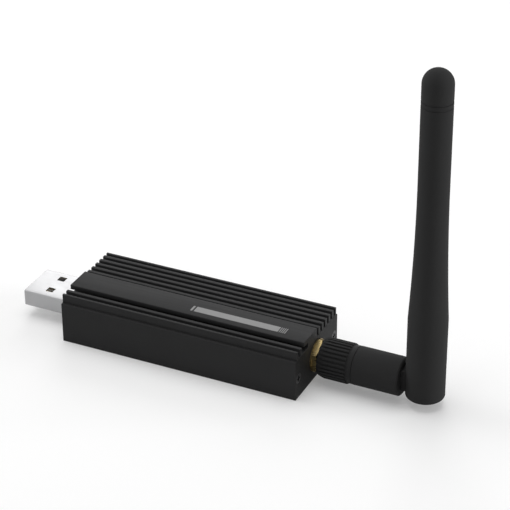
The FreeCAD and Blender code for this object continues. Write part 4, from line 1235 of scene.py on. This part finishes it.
@dataclass
class Barrel(Assembly):
    """Swivel barrel with its hinge tongue, in millimetres."""

    axis: float = 6.05
    start: float = 44.05
    start_edge: float = 0.06
    end: float = 56.25
    radius: float = 4.96
    bevel: float = 0.3
    bevel_edges: Point2 = (0.12, 0.1)
    core: float = 0.4
    bore: float = 2.35
    bore_end: float = 46.25
    hinge: float = 61.95
    tongue: float = 2.9
    tongue_half: float = 2.0
    tongue_edge: float = 0.18
    edge_steps: int = 3
    edge_angle: float = 50.0
    root: float = 0.4
    pivot: float = 1.2
    pivot_half: float = 2.75

    def build(self) -> None:
        """Make the barrel, the tongue and its pivots."""
        maker, hinge = self.maker, (self.hinge, self.axis)
        side_edge, face_edge = self.bevel_edges
        line = [(self.bore_end, self.core), (self.bore_end, self.bore), (self.start, self.bore),
                (self.start, self.radius, self.start_edge), (self.end - self.bevel, self.radius, side_edge),
                (self.end, self.radius - self.bevel, face_edge), (self.end, self.core)]
        barrel = maker.turned("barrel_tube", maker.rounded(line, closed=False), Axis.STICK, (0.0, self.axis))
        root, arc = self.end - self.root, maker.arc(hinge, self.tongue, range(-90, 91, 6))
        side = [(root, self.axis - self.tongue), *arc, (root, self.axis + self.tongue)]
        tongue = maker.extruded("hinge_tongue", side, -self.tongue_half, self.tongue_half, Axis.HINGE)
        bevel = tongue.modifiers.new("edges", "BEVEL")
        bevel.width, bevel.segments = self.tongue_edge * MM, self.edge_steps
        bevel.limit_method, bevel.angle_limit = "ANGLE", math.radians(self.edge_angle)
        maker.tidy(maker.settle(tongue))
        circle = maker.arc(hinge, self.pivot, maker.ROUND)
        pivot = maker.extruded("hinge_pivot", circle, -self.pivot_half, self.pivot_half, Axis.HINGE)
        whole = maker.joined("barrel_shell", barrel, tongue, pivot)
        maker.place(whole, Finishes.antenna, "barrel", "swivel_barrel")


@dataclass
class Rod(Assembly):
    """Antenna rod with its forked foot and its tip, in millimetres."""

    x: float = 61.95
    axis: float = 6.05
    sides: int = 112
    core: float = 0.3
    foot: float = 2.33
    foot_radius: float = 4.94
    foot_round: float = 0.6
    foot_rows: tuple[float, ...] = (4.4, 5.4, 6.4, 7.4, 8.4, 9.2, 10.0, 14.0, 20.0)
    straight_top: float = 24.43
    flare_top: float = 60.93
    flare_steps: int = 16
    stem: float = 3.81
    stem_row: float = 70.0
    joint: float = 82.23
    joint_edge: float = 0.05
    ring: Point2 = (0.5, 0.13)
    ring_edge: float = 0.05
    lower_ring: float = 81.2
    spigot: Point3 = (78.08, 2.35, 0.2)
    tip_edge: float = 0.06
    dome: float = 86.43
    apex: float = 90.24
    apex_radius: float = 0.05
    bore: float = 2.4
    bore_floor: float = 10.65
    slot_half: float = 2.1
    slot_radius: float = 3.05
    slot_reach: Point2 = (7.0, 2.0)
    dimple: Point2 = (1.27, 2.85)

    def flare(self) -> list[Point2]:
        """Follow the hollow curve between foot and stem.

        Returns:
            Its points (height, radius).
        """
        rise = self.foot_radius - self.stem
        span = self.flare_top - self.straight_top
        radius = (span * span + rise * rise) / (2 * rise)
        result = []
        for step in range(1, self.flare_steps + 1):
            height = self.straight_top + span * step / self.flare_steps
            hollow = radius - math.sqrt(radius ** 2 - (self.flare_top - height) ** 2)
            result.append((height, self.stem + hollow))
        return result

    def outline(self) -> list[Corner]:
        """Outline the rod from the middle of its foot to its open top.

        Returns:
            Points (height, radius), some with a rounding.
        """
        width, depth = self.ring
        low, high = self.lower_ring - width / 2, self.lower_ring + width / 2
        edge, groove = self.ring_edge, self.stem - depth
        return [
            (self.foot, self.core), (self.foot, self.foot_radius, self.foot_round),
            *[(height, self.foot_radius) for height in (*self.foot_rows, self.straight_top)], *self.flare(),
            (self.stem_row, self.stem), (low, self.stem, edge), (low + edge, groove), (high - edge, groove),
            (high, self.stem, edge), (self.joint, self.stem, self.joint_edge), (self.joint, self.bore),
            (self.bore_floor, self.bore), (self.bore_floor, self.core),
        ]

    def turned(self, name: str, line: list[Corner], steps: int) -> Piece:
        """Turn an outline round the rod's own axis."""
        outline = self.maker.rounded(line, steps, closed=False)
        return self.maker.turned(name, outline, Axis.ROD, (self.x, 0.0), sides=self.sides)

    def build(self) -> None:
        """Make the forked rod and its domed tip."""
        maker, hinge = self.maker, (self.x, self.axis)
        rod = self.turned("rod_tube", self.outline(), steps=7)
        back, foot = self.x - self.slot_reach[0], self.foot - self.slot_reach[1]
        arc = maker.arc(hinge, self.slot_radius, range(0, 91, 6))
        side = [(back, foot), (self.x + self.slot_radius, foot), *arc, (back, self.axis + self.slot_radius)]
        slot = maker.extruded("slot_tool", side, -self.slot_half, self.slot_half, Axis.HINGE)
        radius, half = self.dimple
        circle = maker.arc(hinge, radius, maker.ROUND)
        dimple = maker.extruded("dimple_tool", circle, -half, half, Axis.HINGE)
        maker.place(maker.cut(rod, slot, dimple), Finishes.antenna, "whip", "whip_sleeve")
        self.build_tip()

    def build_tip(self) -> None:
        """Make the tip: spigot, ring groove at the joint and dome."""
        width, depth = self.ring
        step, groove, rise = self.joint + width, self.stem - depth, self.apex - self.dome
        foot, spigot, edge = self.spigot
        line = [(foot, self.core), (foot, spigot, edge), (self.joint, spigot), (self.joint, groove),
                (step, groove), (step, self.stem, self.tip_edge)]
        for angle in map(math.radians, range(0, 88, 6)):
            line.append((self.dome + rise * math.sin(angle), self.stem * math.cos(angle)))
        line.append((self.apex, self.apex_radius))
        self.maker.place(self.turned("rod_tip", line, steps=4), Finishes.antenna, "whip", "whip_tip")


@dataclass(frozen=True)
class Panel:
    """One square soft light, in metres and watts."""

    name: str
    place: Point3
    target: Point3
    size: float
    power: float

    def build(self) -> None:
        """Hang the light and face it to its target."""
        data = bpy.data.lights.new(self.name, "AREA")
        data.size, data.energy = self.size, self.power
        panel = bpy.data.objects.new(self.name, data)
        panel.location = self.place
        panel.rotation_euler = (Vector(self.place) - Vector(self.target)).to_track_quat("Z", "Y").to_euler()
        bpy.context.scene.collection.objects.link(panel)


@dataclass
class Studio:
    """Camera, floor and soft lights."""

    turn: float = 25.5605
    rise: float = 29.9714
    roll: float = -0.2879
    lens: float = 149.5935
    sensor: float = 36.0
    clip: Point2 = (0.01, 20.0)
    eye: Point3 = (0.2113434, -0.4085686, 0.2918637)
    white: Colour = (1.0, 1.0, 1.0)
    floor_colour: Colour = (0.8, 0.8, 0.8)
    floor_lift: float = 0.2
    floor_size: float = 3.0
    floor_height: float = -0.00002
    sky: float = 0.34
    panels: tuple[Panel, ...] = (
        Panel("roof_panel", (-0.1, 0.1, 0.95), (0.0, 0.0, 0.0), 0.8, 4.5),
        Panel("back_panel", (-0.35, 0.85, 0.55), (0.0, 0.0, 0.03), 0.5, 2.0),
        Panel("right_panel", (0.9, 0.3, 0.2), (0.06, 0.0, 0.05), 0.4, 4.8),
        Panel("left_panel", (-0.9, -0.05, 0.2), (0.06, 0.0, 0.05), 0.4, 3.9),
    )

    def build(self) -> None:
        """Set up the view and the light."""
        bpy.context.scene.view_settings.view_transform = "Standard"
        self.build_camera()
        self.build_world()
        self.build_floor()
        for panel in self.panels:
            panel.build()

    def build_camera(self) -> None:
        """Stand the camera where the photograph was taken."""
        scene = bpy.context.scene
        data = bpy.data.cameras.new("photo_camera")
        data.sensor_width, data.lens = self.sensor, self.lens
        data.clip_start, data.clip_end = self.clip
        camera = bpy.data.objects.new("photo_camera", data)
        turn, rise, tilt = math.radians(self.turn), math.radians(self.rise), math.radians(self.roll)
        level = Vector((math.cos(turn), math.sin(turn), 0.0))
        back = Vector((math.sin(turn) * math.cos(rise), -math.cos(turn) * math.cos(rise), math.sin(rise)))
        right = level * math.cos(tilt) + back.cross(level) * math.sin(tilt)
        up = back.cross(right)
        camera.matrix_world = Matrix((
            (right.x, up.x, back.x, self.eye[0]), (right.y, up.y, back.y, self.eye[1]),
            (right.z, up.z, back.z, self.eye[2]), (0.0, 0.0, 0.0, 1.0)))
        scene.collection.objects.link(camera)
        scene.camera = camera

    @staticmethod
    def seen_plainly(bench: Bench) -> Socket:
        """Tell plain looks from scattered light.

        Args:
            bench: The tree that asks.

        Returns:
            1 where the view, a reflection or something clear looks on, and 0 for scattered light.
        """
        path = bench.add("ShaderNodeLightPath")
        value = path.outputs["Is Camera Ray"]
        for name in ("Is Glossy Ray", "Is Transmission Ray"):
            value = bench.maths("MAXIMUM", value, path.outputs[name])
        return value

    def build_world(self) -> None:
        """Surround the stick with even light, white to the camera and in reflections."""
        world = bpy.data.worlds.new("studio_world")
        world.use_nodes = True
        bench = Bench(world.node_tree)
        strength = bench.maths("MULTIPLY_ADD", self.seen_plainly(bench), 1.0 - self.sky, self.sky)
        bench.fill(bench.tree.nodes["Background"], Color=self.white, Strength=strength)
        bpy.context.scene.world = world

    def build_floor(self) -> None:
        """Lay a pale floor that keeps the shadow and looks white where it is lit."""
        work = bmesh.new()
        bmesh.ops.create_grid(work, x_segments=1, y_segments=1, size=self.floor_size)
        for vertex in work.verts:
            vertex.co.z = self.floor_height
        data = bpy.data.meshes.new("studio_floor")
        work.to_mesh(data)
        work.free()
        material = bare_material("floor_white")
        bench = Bench(material.node_tree)
        matt = bench.add("ShaderNodeBsdfDiffuse", Color=self.floor_colour)
        lift = bench.maths("MULTIPLY", self.seen_plainly(bench), self.floor_lift)
        glow = bench.add("ShaderNodeEmission", Strength=lift)
        both = bench.add("ShaderNodeAddShader")
        for target, shader in zip(both.inputs, (matt, glow)):
            bench.put(target, shader.outputs[0])
        bench.add("ShaderNodeOutputMaterial", Surface=both.outputs[0])
        data.materials.append(material)
        Maker.stood("studio_floor", data)


def main() -> None:
    """Build the studio and dress the stick, piece by piece."""
    logging.basicConfig(level=logging.INFO, format="%(message)s")
    Studio().build()
    finishes = Finishes()
    finishes.dress_nodes()
    maker = Maker(finishes)
    for assembly in (Case, Plug, Jack, Coupling, Barrel, Rod):
        assembly(maker).build()


if __name__ == "__main__":
    main()
